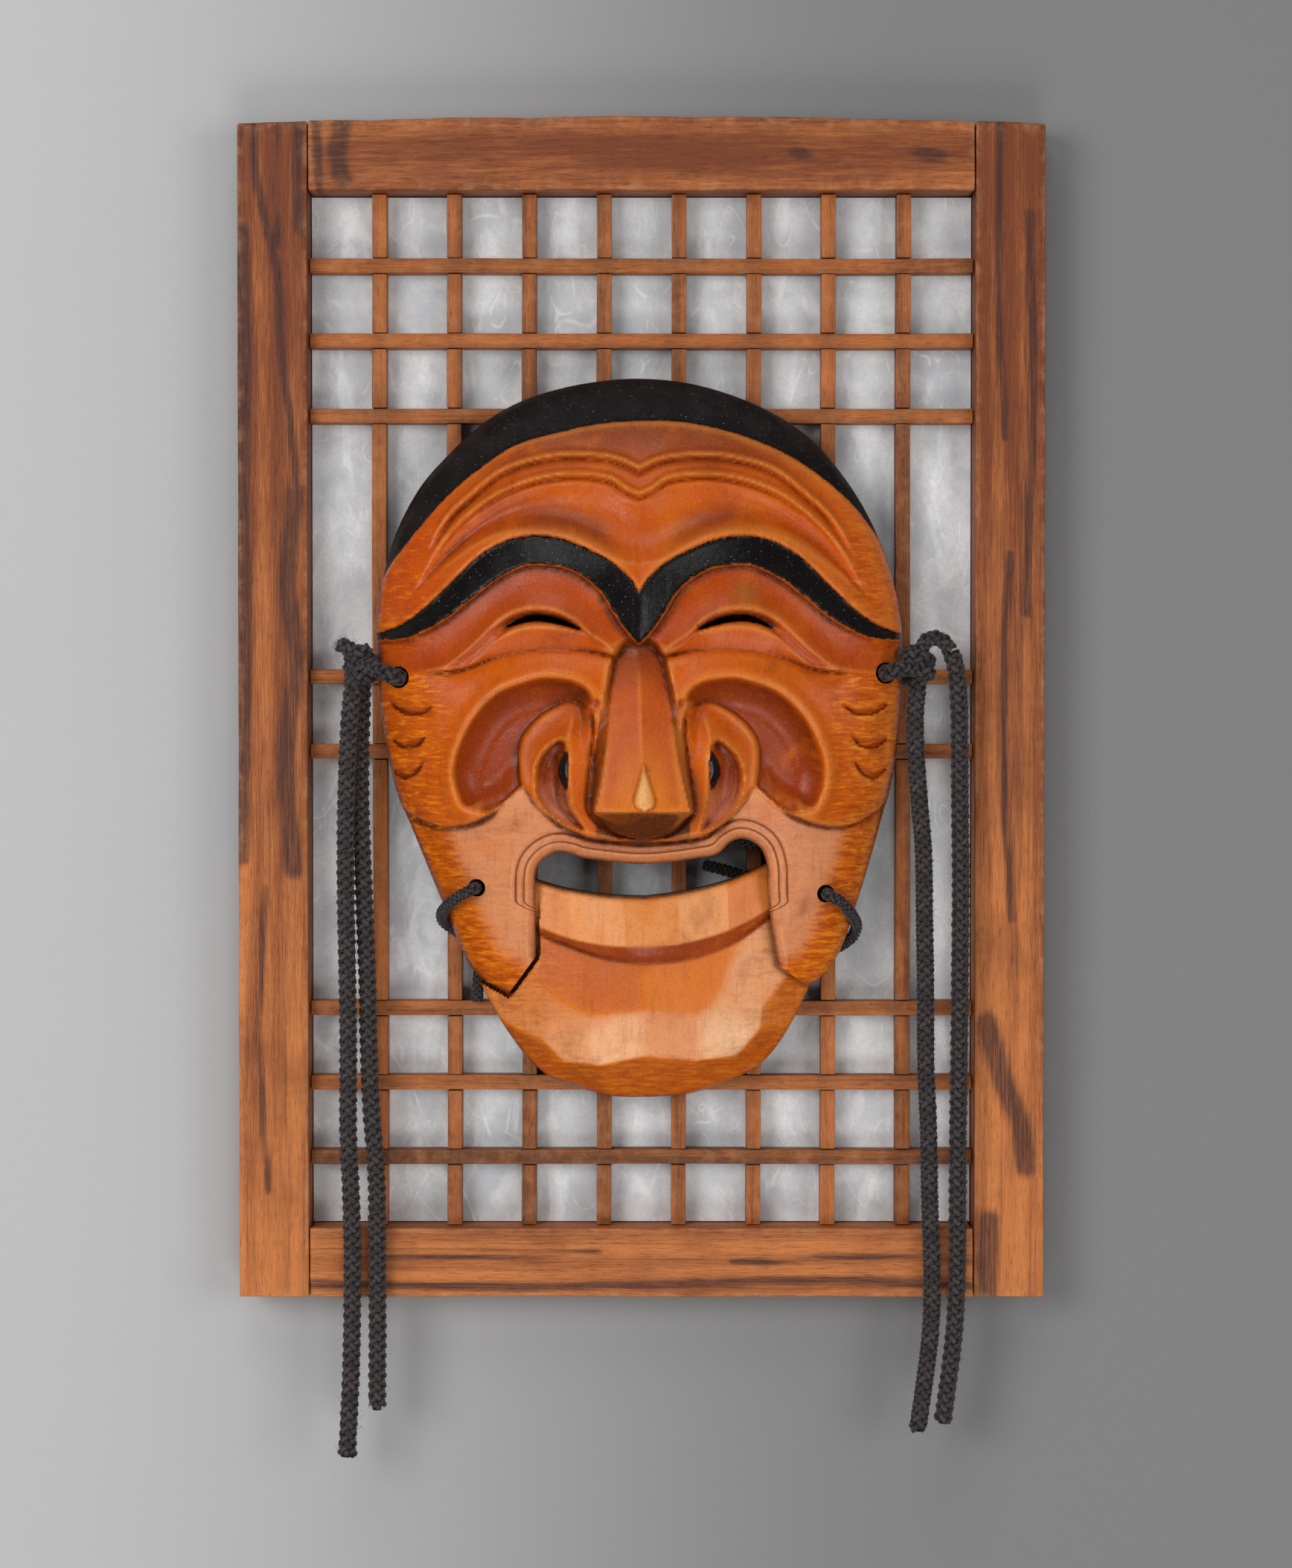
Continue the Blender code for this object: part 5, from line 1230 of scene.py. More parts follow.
def draw_to_line(work, loops):
    """Move a sheet's edge onto the nearest point of its outlines."""
    starts = np.vstack(loops)
    run = np.vstack([np.roll(loop, -1, axis=0) for loop in loops]) - starts
    square = np.maximum((run * run).sum(1), 1e-12)
    for vertex in work.verts:
        if vertex.is_boundary:
            at = np.array(vertex.co[:2])
            t = np.clip(((at - starts) * run).sum(1) / square, 0, 1)
            near = starts + run * t[:, None]
            vertex.co.x, vertex.co.y = near[np.argmin(((near - at) ** 2).sum(1))]


def carve(item, front, back, place, inside_share):
    """Thicken a sheet between its two heights, and thin out its unseen side."""
    work = bmesh.new()
    work.from_mesh(item.data)
    rim = {v for v in work.verts if v.is_boundary}
    flat = np.array([v.co[:2] for v in work.verts])
    made = bmesh.ops.extrude_face_region(work, geom=work.faces[:], use_keep_orig=True)
    lifted = {v for v in made["geom"] if isinstance(v, bmesh.types.BMVert)}
    flat = np.array([v.co[:2] for v in work.verts])
    ahead, behind = front(flat[:, 0], flat[:, 1]), back(flat[:, 0], flat[:, 1])
    across, up = place(flat[:, 0], flat[:, 1])
    work.verts.index_update()
    inside = [v.index for v in work.verts if v not in lifted and v not in rim]
    for i, vertex in enumerate(work.verts):
        height = ahead[i] if vertex in lifted else behind[i]
        vertex.co = (MASK_X + across[i] * MM, -RIM_DEPTH - height * MM, MASK_Z + up[i] * MM)
    bmesh.ops.recalc_face_normals(work, faces=work.faces[:])
    work.to_mesh(item.data)
    work.free()
    group = item.vertex_groups.new(name="inside")
    group.add(inside, 1.0, "REPLACE")
    thin = item.modifiers.new("fewer faces inside", "DECIMATE")
    thin.ratio, thin.vertex_group = 0.5 * (1 + inside_share), "inside"
    apply_all(item)
    item.vertex_groups.clear()


def mask_places(item):
    """Across, up and height of a carved piece's vertices, in the mask's millimetres."""
    co = places(item)
    return (co[:, 0] - MASK_X) / MM, (co[:, 2] - MASK_Z) / MM, (-RIM_DEPTH - co[:, 1]) / MM


def relief_field(front, low, high, reach, spacing=1.0):
    """Function of how far a carved face lies above its own surroundings."""
    us, vs = np.arange(low[0], high[0], spacing), np.arange(low[1], high[1], spacing)
    grid_u, grid_v = np.meshgrid(us, vs)
    height = front(grid_u.ravel(), grid_v.ravel()).reshape(grid_u.shape)
    taps = np.exp(-(np.arange(-3 * reach, 3 * reach + 1, spacing) / reach) ** 2 / 2)
    taps /= taps.sum()
    pad = len(taps) // 2
    wide = np.pad(height, pad, mode="edge")
    wide = np.apply_along_axis(lambda row: np.convolve(row, taps, "valid"), 1, wide)
    wide = np.apply_along_axis(lambda row: np.convolve(row, taps, "valid"), 0, wide)
    rise = height - wide

    def value(u, v):
        x = np.clip((u - low[0]) / spacing, 0, rise.shape[1] - 1.001)
        y = np.clip((v - low[1]) / spacing, 0, rise.shape[0] - 1.001)
        i, j = x.astype(int), y.astype(int)
        s, t = x - i, y - j
        return ((rise[j, i] * (1 - s) + rise[j, i + 1] * s) * (1 - t)
                + (rise[j + 1, i] * (1 - s) + rise[j + 1, i + 1] * s) * t)
    return value


def face_stain_and_light(u, v):
    """Stained colour of the upper mask with its painted shade and highlights, and how much of the ripple figure
    shows.
    """
    a = np.abs(u)
    low = np.abs(u - sway(v))
    below = above(SMILE_LINE, low, v)
    brow_top, brow_bottom = above(BROW_TOP, a, v), above(BROW_BOTTOM, a, v)
    under = above(UNDER_EYE, a, v)
    colour = np.tile(AMBER, (len(u), 1))
    colour = toward(colour, FOREHEAD_BROWN, step(82, 104, v))
    colour = toward(colour, TEMPLE_ORANGE, step(50, 74, a) * step(10, 26, v))
    lip = above(BROW_LIP, a, v)
    # Painted shade in the hollow band above the brows
    colour = toward(colour, VALLEY_SHADE_BROWN, 0.75 * bump(lip - 4.6, 4.2) * step(5, 14, a) * step(44, 28, a))
    lid = past(-brow_bottom) * past(above(LOWER_LID, a, v))
    colour = toward(colour, LID_RED, 0.6 * lid)
    spot = np.hypot(u - 34.5, v - 49)
    colour = toward(colour, LID_SPOT, 0.75 * bump(spot, 4.2))
    cheek = past(-under) * past(below)
    colour = toward(colour, CHEEK_ORANGE, cheek * 0.8)
    hollow = depth_in(smooth_line(CHEEK_HOLLOW, closed=True), low, v)
    # Red-brown wood and painted shade in the cheek hollows
    colour = toward(colour, HOLLOW_RED_AND_SHADE, 0.8 * step(-0.6, 1.5, hollow))
    wing = depth_in(smooth_line(WING, closed=True, per_span=6), low, v)
    colour = toward(colour, CHEEK_ORANGE, 0.7 * past(wing))
    across = u - NOSE_LEAN * step(25, -20, v)
    edge = value_on(NOSE_EDGE, v)
    nose = (v > -29.5) & (v < 33) & (np.abs(across) < edge)
    colour = toward(colour, NOSE_TAN, nose * 0.85)
    # Painted highlight down the lower front of the nose
    nose_highlight = nose * step(8, -16, v) * step(edge, 0.3 * edge, np.abs(across))
    colour = toward(colour, NOSE_HIGHLIGHT, 0.6 * nose_highlight)
    # Painted shade at the recessed nose root
    colour = toward(colour, NOSE_SHADE_BROWN, 0.6 * nose * step(14, 31, v))
    # Painted highlight along the nose's middle ridge
    colour = toward(colour, NOSE_HIGHLIGHT, 0.5 * nose * bump(across, 0.55) * step(26, 18, v))
    # Painted shade under the nose tip
    colour = toward(colour, NOSE_SHADE_BROWN, step(NOSE_TIP + 0.4, NOSE_TIP - 0.4, v) * nose)
    # Painted shade on the sides of the nose
    side = (v > NOSE_TIP) & (v < 30) & (np.abs(across) > edge) & (np.abs(across) < value_on(NOSE_FOOT, v))
    colour = toward(colour, PAINTED_SHADE_BROWN, side * 0.7)
    pip = pip_share(across, v)
    # Painted highlight on the crest of the pip
    colour = toward(colour, PIP_HIGHLIGHT_CREAM, 0.85 * step(0.35, 0.95, pip))
    # Painted shadow under the lower edge of the pip
    colour = toward(colour, PAINTED_SHADE_BROWN, 0.8 * (pip > 0) * step(0.4, 0.1, pip) * step(-12, -18, v))
    nostril = depth_in(smooth_line(NOSTRIL, closed=True), low, v)
    # Painted shade in the upper part of each nostril
    colour = toward(colour, HOLLOW_RED_AND_SHADE, 0.8 * step(0, 2.0, nostril) * step(-20, -10, v))
    # Painted reflection in the lower part of the nostril
    colour = toward(colour, NOSTRIL_REFLECTION, 0.6 * step(0, 1.2, nostril) * step(-9, -18, v))
    outer = distance(smooth_line(HEAD_EDGE, per_span=4), u, v)
    flap = past(-below)
    band = flap * step(15, 8, outer)
    # Painted reflection: the flaps painted pale tan as their sheen
    colour = toward(colour, FLAP_SHEEN_TAN, flap * 0.95)
    colour = toward(colour, FLAP_ORANGE, band)
    figure = step(56, 68, a) * cheek * 0.9 + 0.6 * step(58, 74, a) * step(24, 40, v)
    # Painted shade in the crescent cuts, deeper where they cut deeper
    colour = toward(colour, CROW_CUT_SHADE, 0.7 * step(0.05, 0.8, crows_feet(a, v)))
    return colour, np.clip(band + 0.2 * flap + figure, 0, 1)


def face_paint_and_nostril_shadow(u, v):
    """Signed distance into the paint in millimetres, and where it is the glossy brows; the paint also covers a
    black painted shade round each nostril slit.
    """
    a = np.abs(u)
    hair = above(HAIRLINE, u, v)
    brow = np.minimum(above(BROW_BOTTOM, a, v), -above(BROW_TOP, a, v))
    eye = depth_in(smooth_line(EYE_SLIT, closed=True, per_span=4), a, v)
    low = np.abs(u - sway(v))
    # Black painted shade round the nostril slit
    nostril = depth_in(smooth_line(NOSTRIL_SHADE, closed=True, per_span=4), low, v)
    return np.max([hair, brow, eye + 0.3, nostril], axis=0), past(brow)


def mouth_gap(u, v):
    """Distance from the mouth's edge, put out of reach below the grooves' ends."""
    return distance(smooth_line(MOUTH_EDGE, per_span=4), u, v) + 20 * step(-50, -60, v)


def jaw_stain_and_light(w, v):
    """Colour of the jaw: pale lip with a painted sheen, painted shade in the cut under it and under the flaps,
    amber chin with painted light and shade on its facets.
    """
    rise = above(LIP_BOTTOM, np.abs(w), v)
    reach = LIP_UNDERSIDE - 3.3 * np.clip((w - 8) / 34, -1, 1) ** 2
    colour = np.tile(CHIN_AMBER, (len(w), 1))
    cuts = knife_cuts(jaw_dome, CHIN_FACETS, w, v)
    near = np.exp((cuts.min(0) - cuts) / 0.22)
    facet_light = (near * np.array(CHIN_FACET_LIGHT)[:, None]).sum(0) / near.sum(0)
    # Painted light and shade: lit facets towards a pale highlight, shaded ones towards darker orange and brown
    colour = toward(colour, CHIN_FACET_HIGHLIGHT, facet_light * (0.5 + 0.5 * step(-82, -98, v)))
    colour = toward(colour, UNDER_CHIN_ORANGE, -facet_light * step(-99, -103, v))
    colour = toward(colour, FACET_SHADE_BROWN, -1.3 * facet_light * step(-103, -99, v))
    # Painted shade on the underside of the lip
    colour = toward(colour, UNDER_LIP_SHADE_RED, step(-1.2, 0.0, rise + reach) * step(1.0, -0.6, rise))
    # Painted shade on the jaw just under the edge of the cheek flaps
    shade = depth_in(mask_outline(), *jaw_to_mask(w, v))
    colour = toward(colour, PAINTED_SHADE_BROWN, 0.7 * step(-2.2, -0.6, shade))
    # Lip facets: pale with a painted sheen, some darkened as painted shade
    facet = knife_cuts(lip_dome, [(place, -58) for place in LIP_FACETS], w, v).argmin(0)
    lip = toward(np.tile(LIP_HONEY_AND_SHEEN, (len(w), 1)), CHIN_AMBER, np.array(LIP_FACET_LIGHT)[facet])
    share = step(-0.6, 0.6, rise)[:, None]
    figure = np.clip(step(16, 50, np.abs(w)) + step(-99, -104, v), 0, 1) * 0.6
    return colour + (lip - colour) * share, figure * (1 - share[:, 0])


def stain_piece(item, front, back, stain_and_light, paint, flat, field_low, field_high):
    """Store the colour, paint and crease attributes that the varnish reads; the colour holds painted shade in
    recesses and creases and painted highlights on ridges.
    """
    u, v, height = mask_places(item)
    x, y = flat(u, v)
    inside = (np.abs(height - back(x, y)) < np.abs(height - front(x, y))).astype(float)
    colour, ripple = stain_and_light(x, y)
    broad = relief_field(front, field_low, field_high, 5.0)(x, y)
    tight = relief_field(front, field_low, field_high, 1.4, 0.5)(x, y)
    # Painted shade in the broad recesses
    colour = toward(colour, HOLLOW_RED_AND_SHADE, 0.35 * step(0.2, -3.0, broad))
    # Painted shade in the creases
    colour = toward(colour, PAINTED_SHADE_BROWN, 0.75 * step(-0.2, -1.1, tight))
    # Ridges lighter: rubbed wear and painted highlight
    colour = toward(colour, WEAR_AND_HIGHLIGHT_HONEY, 0.45 * step(0.12, 0.7, tight))
    store(item, "stain_and_light", np.column_stack((colour, np.ones(len(u)))), "FLOAT_COLOR")
    store(item, "ripple", ripple)
    painted, brow = paint(x, y)
    store(item, "paint", painted)
    store(item, "brow", brow)
    store(item, "crease", step(-0.25, -1.0, tight))
    store(item, "inside", inside)
    store(item, "mouth_gap", mouth_gap(x, y) if front is mask_front else np.full(len(x), 40.0))


# Cords
def world_line(route):
    """Metres in the row frame of (across, up, ahead of the wall) points in millimetres."""
    return np.array([(x, -ahead, z) for x, z, ahead in route], dtype=float) * MM


def even_line(points, spacing):
    """Evenly spaced points on a smooth curve through points in metres."""
    line = smooth_line(points, per_span=12)
    lengths = np.concatenate(([0], np.cumsum(np.linalg.norm(np.diff(line, axis=0), axis=1))))
    at = np.linspace(0, lengths[-1], max(4, int(round(lengths[-1] / spacing))) + 1)
    return np.column_stack([np.interp(at, lengths, line[:, k]) for k in range(3)])


def frames(line):
    """Tangent and two steady side directions at each point of a line."""
    tangent = np.gradient(line, axis=0)
    tangent /= np.linalg.norm(tangent, axis=1)[:, None]
    side = np.cross(tangent[0], (0.3, 0.2, 0.9))
    sides = []
    for t in tangent:
        side = side - t * (side @ t)
        side = side / np.linalg.norm(side)
        sides.append(side)
    sides = np.array(sides)
    return tangent, sides, np.cross(tangent, sides)


class Yarn:
    """Strands gathered into one mesh."""

    def __init__(self):
        self.points, self.faces = [], []
        self.strand, self.along, self.around, self.over = [], [], [], []
        self.count = 0

    def sweep(self, line, outward, wide, tall, sides, shade, taper=0, over=None):
        """Add a strand of an oval section along a line, its tall side outward."""
        n = len(line)
        tangent = np.gradient(line, axis=0)
        tangent /= np.linalg.norm(tangent, axis=1)[:, None] + 1e-12
        across = np.cross(tangent, outward)
        across /= np.linalg.norm(across, axis=1)[:, None] + 1e-12
        up = np.cross(across, tangent)
        angles = np.arange(sides) * 2 * math.pi / sides
        size = np.ones(n)
        if taper:
            size = np.clip((np.arange(n)[::-1] + 0.35) / taper, 0.12, 1)
        ring = (across[:, None, :] * (wide * np.cos(angles))[None, :, None]
                + up[:, None, :] * (tall * np.sin(angles))[None, :, None]) * size[:, None, None]
        self.points.append((line[:, None, :] + ring).reshape(-1, 3))
        at = self.count + np.arange(n - 1)[:, None] * sides
        j = np.arange(sides)[None, :]
        k = (j + 1) % sides
        quads = np.stack((at + j, at + k, at + sides + k, at + sides + j), axis=-1)
        self.faces += [tuple(q) for q in quads.reshape(-1, 4).tolist()]
        first, last = self.count, self.count + (n - 1) * sides
        self.faces.append(tuple(range(first + sides - 1, first - 1, -1)))
        self.faces.append(tuple(range(last, last + sides)))
        run = np.concatenate(([0], np.cumsum(np.linalg.norm(np.diff(line, axis=0), axis=1)))) / MM
        self.along.append(np.repeat(run, sides))
        self.around.append(np.tile(np.cos(angles), n))
        self.strand.append(np.full(n * sides, shade))
        self.over.append(np.repeat(np.full(n, 0.4) if over is None else over, sides))
        self.count += n * sides

    def braid(self, line, diameter, pitch, rng, strands=4, sides=6, loosen=0):
        """Add a round braid whose strands pass over and under each other in turn."""
        tangent, side, other = frames(line)
        run = np.concatenate(([0], np.cumsum(np.linalg.norm(np.diff(line, axis=0), axis=1))))
        half = diameter / 2 * 1.06
        thick, swing = 0.26 * half, 0.19 * half
        radius = half - thick - swing
        slant = math.atan2(2 * math.pi * radius, pitch)
        wide = 0.43 * pitch / strands * math.sin(slant)
        self.sweep(line, side, radius - 0.5 * swing, radius - 0.5 * swing, 8, 0.0, over=np.full(len(line), -1.0))
        for way in (1, -1):
            for i in range(strands):
                angle = 2 * math.pi * i / strands + way * 2 * math.pi * run / pitch
                over = way * np.cos(strands * 2 * math.pi * run / pitch)
                lift = (radius + swing * over) * (1 + 0.02 * rng.normal(size=len(run)))
                keep = len(run)
                if loosen:
                    end = np.clip((run - run[-1] + loosen) / loosen, 0, 1)
                    lift = lift * (1 + rng.uniform(0.0, 0.28) * end ** 2)
                    keep -= rng.integers(0, int(0.4 * loosen / (run[1] - run[0])) + 1)
                outward = side * np.cos(angle)[:, None] + other * np.sin(angle)[:, None]
                strand = line + outward * lift[:, None]
                self.sweep(strand[:keep], outward[:keep], wide, thick, sides, rng.uniform(0, 1),
                           over=over[:keep])

    def fuzz(self, line, diameter, count, rng, length=2.6 * MM, spread=0.5, thick=0.035 * MM):
        """Add loose fibres that stand off a cord."""
        tangent, side, other = frames(line)
        for _ in range(count):
            i = rng.integers(1, len(line) - 1)
            angle = rng.uniform(0, 2 * math.pi)
            out = side[i] * math.cos(angle) + other[i] * math.sin(angle)
            lean = tangent[i] * rng.normal() + rng.normal(size=3) * 0.5
            reach = length * rng.uniform(0.4, 1.2)
            t = np.linspace(0, 1, 4)[:, None]
            base = line[i] + out * (diameter / 2 * 0.9)
            curl = rng.normal(size=3) * 0.35
            points = base + reach * (t * (out * spread + lean * 0.6) + t * t * curl)
            away = np.linalg.norm(points - line[i], axis=1)[:, None]
            points = line[i] + (points - line[i]) * np.minimum(1, (diameter / 2 + 2.4 * MM) / away)
            self.sweep(points, np.tile(np.cross(lean, out), (4, 1)), thick, thick, 3,
                       rng.uniform(0.6, 1.6))

    def fray(self, line, diameter, count, rng, length, thick=0.09 * MM):
        """Add the loose yarn ends that stick out of a cut end."""
        tangent, side, other = frames(line)
        end, way = line[-1], tangent[-1]
        for _ in range(count):
            angle, off = rng.uniform(0, 2 * math.pi), math.sqrt(rng.uniform(0, 1)) * diameter * 0.42
            out = side[-1] * math.cos(angle) + other[-1] * math.sin(angle)
            t = np.linspace(0, 1, 5)[:, None]
            reach = length * rng.uniform(0.3, 1.0)
            points = (end + out * off - way * 1.5 * MM
                      + t * way * (reach + 1.5 * MM) + t * t * out * reach * rng.uniform(0, 0.5)
                      + t * t * rng.normal(size=3) * reach * 0.18)
            self.sweep(points, np.tile(np.cross(way, out), (5, 1)), thick, thick, 4,
                       rng.uniform(0, 1.1), 3)

    def piece(self, name):
        """Object of all the strands, in place."""
        mesh = bpy.data.meshes.new(name)
        mesh.from_pydata(np.vstack(self.points).tolist(), [], self.faces)
        mesh.update()
        item = bpy.data.objects.new(name, mesh)
        bpy.context.scene.collection.objects.link(item)
        for key in ("strand", "along", "around", "over"):
            store(item, key, np.concatenate(getattr(self, key)))
        mesh.shade_smooth()
        return item


# Settings
class StageSettings(bpy.types.PropertyGroup):
    wall_colour: FloatVectorProperty(
        name="Wall colour", description="Paint of the wall behind the plaque", subtype="COLOR",
        default=srgb(188, 188, 189), min=0, max=1)
    floor_colour: FloatVectorProperty(
        name="Floor colour", description="Colour of the floor below", subtype="COLOR",
        default=srgb(214, 213, 211), min=0, max=1)
    key_power: FloatProperty(
        name="Key light", description="Power of the soft light from the left", default=10.5,
        min=0, unit="POWER")
    fill_power: FloatProperty(
        name="Fill light", description="Power of the soft light from the right", default=6.0,
        min=0, unit="POWER")
    low_power: FloatProperty(
        name="Low light", description="Power of the soft light from below", default=4.5,
        min=0, unit="POWER")
    top_power: FloatProperty(
        name="Top light", description="Power of the soft light from above", default=2.6,
        min=0, unit="POWER")


class CordSettings(bpy.types.PropertyGroup):
    cord_diameter: FloatProperty(
        name="Ear cord diameter", description="Thickness of the braided ear cords",
        default=6.0 * MM, min=2 * MM, max=10 * MM, unit="LENGTH")
    tie_diameter: FloatProperty(
        name="Tie diameter", description="Thickness of the cords that hold the jaw",
        default=4.0 * MM, min=1 * MM, max=6 * MM, unit="LENGTH")
    cord_pitch: FloatProperty(
        name="Braid pitch", description="Length in which a strand goes once round an ear cord",
        default=13.0 * MM, min=4 * MM, max=40 * MM, unit="LENGTH")
    deep_colour: FloatVectorProperty(
        name="Deep colour", description="Shaded yarn", subtype="COLOR", default=srgb(15, 12, 13),
        min=0, max=1)
    yarn_colour: FloatVectorProperty(
        name="Yarn colour", description="Lit yarn", subtype="COLOR", default=srgb(80, 71, 72),
        min=0, max=1)
    pale_yarn_colour: FloatVectorProperty(
        name="Pale yarn colour", description="Rubbed and dusty fibres", subtype="COLOR",
        default=srgb(112, 100, 98), min=0, max=1)


class FrameSettings(bpy.types.PropertyGroup):
    edge_width: FloatProperty(
        name="Edge rounding", description="Width of the rubbed edges", default=0.5 * MM,
        min=0.2 * MM, max=3 * MM, unit="LENGTH")
    pale_colour: FloatVectorProperty(
        name="Pale wood", description="Early wood of the frame", subtype="COLOR",
        default=srgb(202, 121, 62), min=0, max=1)
    dark_colour: FloatVectorProperty(
        name="Dark wood", description="Late wood of the frame", subtype="COLOR",
        default=srgb(116, 57, 27), min=0, max=1)


class LatticeSettings(bpy.types.PropertyGroup):
    pale_colour: FloatVectorProperty(
        name="Pale wood", description="Lit wood of the bars", subtype="COLOR",
        default=srgb(184, 104, 48), min=0, max=1)
    dark_colour: FloatVectorProperty(
        name="Dark wood", description="Dark wood of the bars", subtype="COLOR",
        default=srgb(104, 58, 30), min=0, max=1)


class PaperSettings(bpy.types.PropertyGroup):
    paper_colour: FloatVectorProperty(
        name="Paper colour", description="Thin, lit places of the paper", subtype="COLOR",
        default=srgb(224, 226, 227), min=0, max=1)
    shade_colour: FloatVectorProperty(
        name="Cloud colour", description="Thicker, greyer places of the paper", subtype="COLOR",
        default=srgb(190, 193, 198), min=0, max=1)


class MaskSettings(bpy.types.PropertyGroup):
    mask_grid: FloatProperty(
        name="Mask grid", description="Spacing of the carving points of the upper mask",
        default=0.6 * MM, min=0.4 * MM, max=3 * MM, unit="LENGTH")
    jaw_grid: FloatProperty(
        name="Jaw grid", description="Spacing of the carving points of the jaw",
        default=0.5 * MM, min=0.4 * MM, max=3 * MM, unit="LENGTH")
    pale_varnish: FloatVectorProperty(
        name="Pale varnish", description="Thin, yellow places of the varnish", subtype="COLOR",
        default=srgb(214, 108, 20), min=0, max=1)
    dark_varnish: FloatVectorProperty(
        name="Dark varnish", description="Thick, red-brown places of the varnish", subtype="COLOR",
        default=srgb(122, 42, 14), min=0, max=1)
    paint_colour: FloatVectorProperty(
        name="Hair paint", description="Black paint of the hair and the brows", subtype="COLOR",
        default=srgb(14, 12, 12), min=0, max=1)


# Operators
class PLAQUE_OT_stage(bpy.types.Operator):
    """Set up the camera, the soft lights, the plain wall and the pale floor"""
    bl_idname = "plaque.stage"
    bl_label = "Stage"

    def execute(self, context):
        settings = context.scene.plaque_stage
        data = bpy.data.cameras.new("camera")
        data.sensor_fit = "VERTICAL"
        data.lens = data.sensor_height * (CAMERA_DISTANCE - VIEW_PLANE) / VIEW_HEIGHT
        data.clip_start = 0.05
        camera = bpy.data.objects.new("camera", data)
        context.scene.collection.objects.link(camera)
        aim = Vector(AIM)
        camera.location = aim + CAMERA_DISTANCE * Vector((0, -math.cos(CAMERA_RISE),
                                                          math.sin(CAMERA_RISE)))
        camera.rotation_euler = (aim - camera.location).to_track_quat("-Z", "Y").to_euler()
        context.scene.camera = camera
        self.light(context, "key light", (-0.80, -1.20, 0.05), 0.8, settings.key_power)
        self.light(context, "fill light", (0.95, -1.15, -0.15), 0.8, settings.fill_power)
        self.light(context, "low light", (0.10, -1.05, -1.00), 0.6, settings.low_power)
        self.light(context, "top light", (-0.15, -0.75, 0.75), 0.6, settings.top_power)
        world = bpy.data.worlds.new("soft room")
        world.use_nodes = True
        world.node_tree.nodes["Background"].inputs["Color"].default_value = (1, 1, 1, 1)
        world.node_tree.nodes["Background"].inputs["Strength"].default_value = 0.13
        context.scene.world = world
        context.scene.view_settings.view_transform = "Standard"
        self.plane("wall", (4, 3), (0, WALL_GAP, 0.2), (math.pi / 2, 0, 0),
                   self.paint("wall paint", settings.wall_colour, True))
        self.plane("floor", (4, 4), (0, -1.9, -1.3), (0, 0, 0),
                   self.paint("floor paint", settings.floor_colour, False))
        return {"FINISHED"}

    def light(self, context, name, place, size, power):
        data = bpy.data.lights.new(name, "AREA")
        data.shape, data.size, data.energy = "DISK", size, power
        lamp = bpy.data.objects.new(name, data)
        context.scene.collection.objects.link(lamp)
        lamp.location = place
        lamp.rotation_euler = (Vector((0, 0, -0.2)) - lamp.location).to_track_quat("-Z", "Y").to_euler()

    def plane(self, name, size, place, turn, surface):
        start()
        bpy.ops.mesh.primitive_grid_add(x_subdivisions=4, y_subdivisions=4, size=1,
                                        location=place, rotation=turn)
        item = named(name)
        put_places(item, places(item) * (*size, 1))
        item.data.materials.append(surface)

    def paint(self, name, colour, one_sided):
        """Rolled matt paint; the wall darkens towards its right as painted shade, and seen from behind is left
        open.
        """
        made = Finish(name, 0.9)
        cloud = made.noise(made.place(), 0.004, 3)
        shade = made.mix(made.between(cloud, 0.3, 0.7, 0.0, 0.15), colour, tuple(0.9 * c for c in colour))
        if one_sided:
            # Painted shade: the wall darker towards its right
            across = made.node("SeparateXYZ", {0: made.place()}).outputs[0]
            shade = made.mix(made.between(across, -230.0, 100.0), shade, tuple(0.42 * c for c in colour))
        made.set(Base_Color=shade)
        made.set(Normal=made.bump(made.noise(made.place(), 0.8, 2), 0.05, 0.4))
        if one_sided:
            clear = made.node("BsdfTransparent").outputs[0]
            both = made.node("MixShader", {0: made.node("NewGeometry").outputs["Backfacing"],
                                           1: made.shader.outputs[0], 2: clear})
            made.tree.links.new(both.outputs[0], made.tree.nodes["Material Output"].inputs["Surface"])
        return made.material


class PLAQUE_OT_cords(bpy.types.Operator):
    """Braid the four ear cords that hang free, with their frayed ends"""
    bl_idname = "plaque.cords"
    bl_label = "Ear Cords"

    def execute(self, context):
        settings = context.scene.plaque_cords
        surface = cord_finish("charcoal braided cord", settings)
        for number, (name, route) in enumerate(CORD_ROUTES.items()):
            rng = np.random.default_rng(40 + number)
            line = even_line(world_line(route), 0.42 * MM)
            yarn = Yarn()
            yarn.braid(line, settings.cord_diameter, settings.cord_pitch, rng, loosen=6 * MM)
            yarn.fuzz(line, settings.cord_diameter, 300, rng)
            yarn.fray(line[:-4], settings.cord_diameter, 70, rng, 1.5 * MM)
            piece = dress(yarn.piece(name.replace("cord", "braid")), surface, "ear_cord", name)
        return {"FINISHED"}


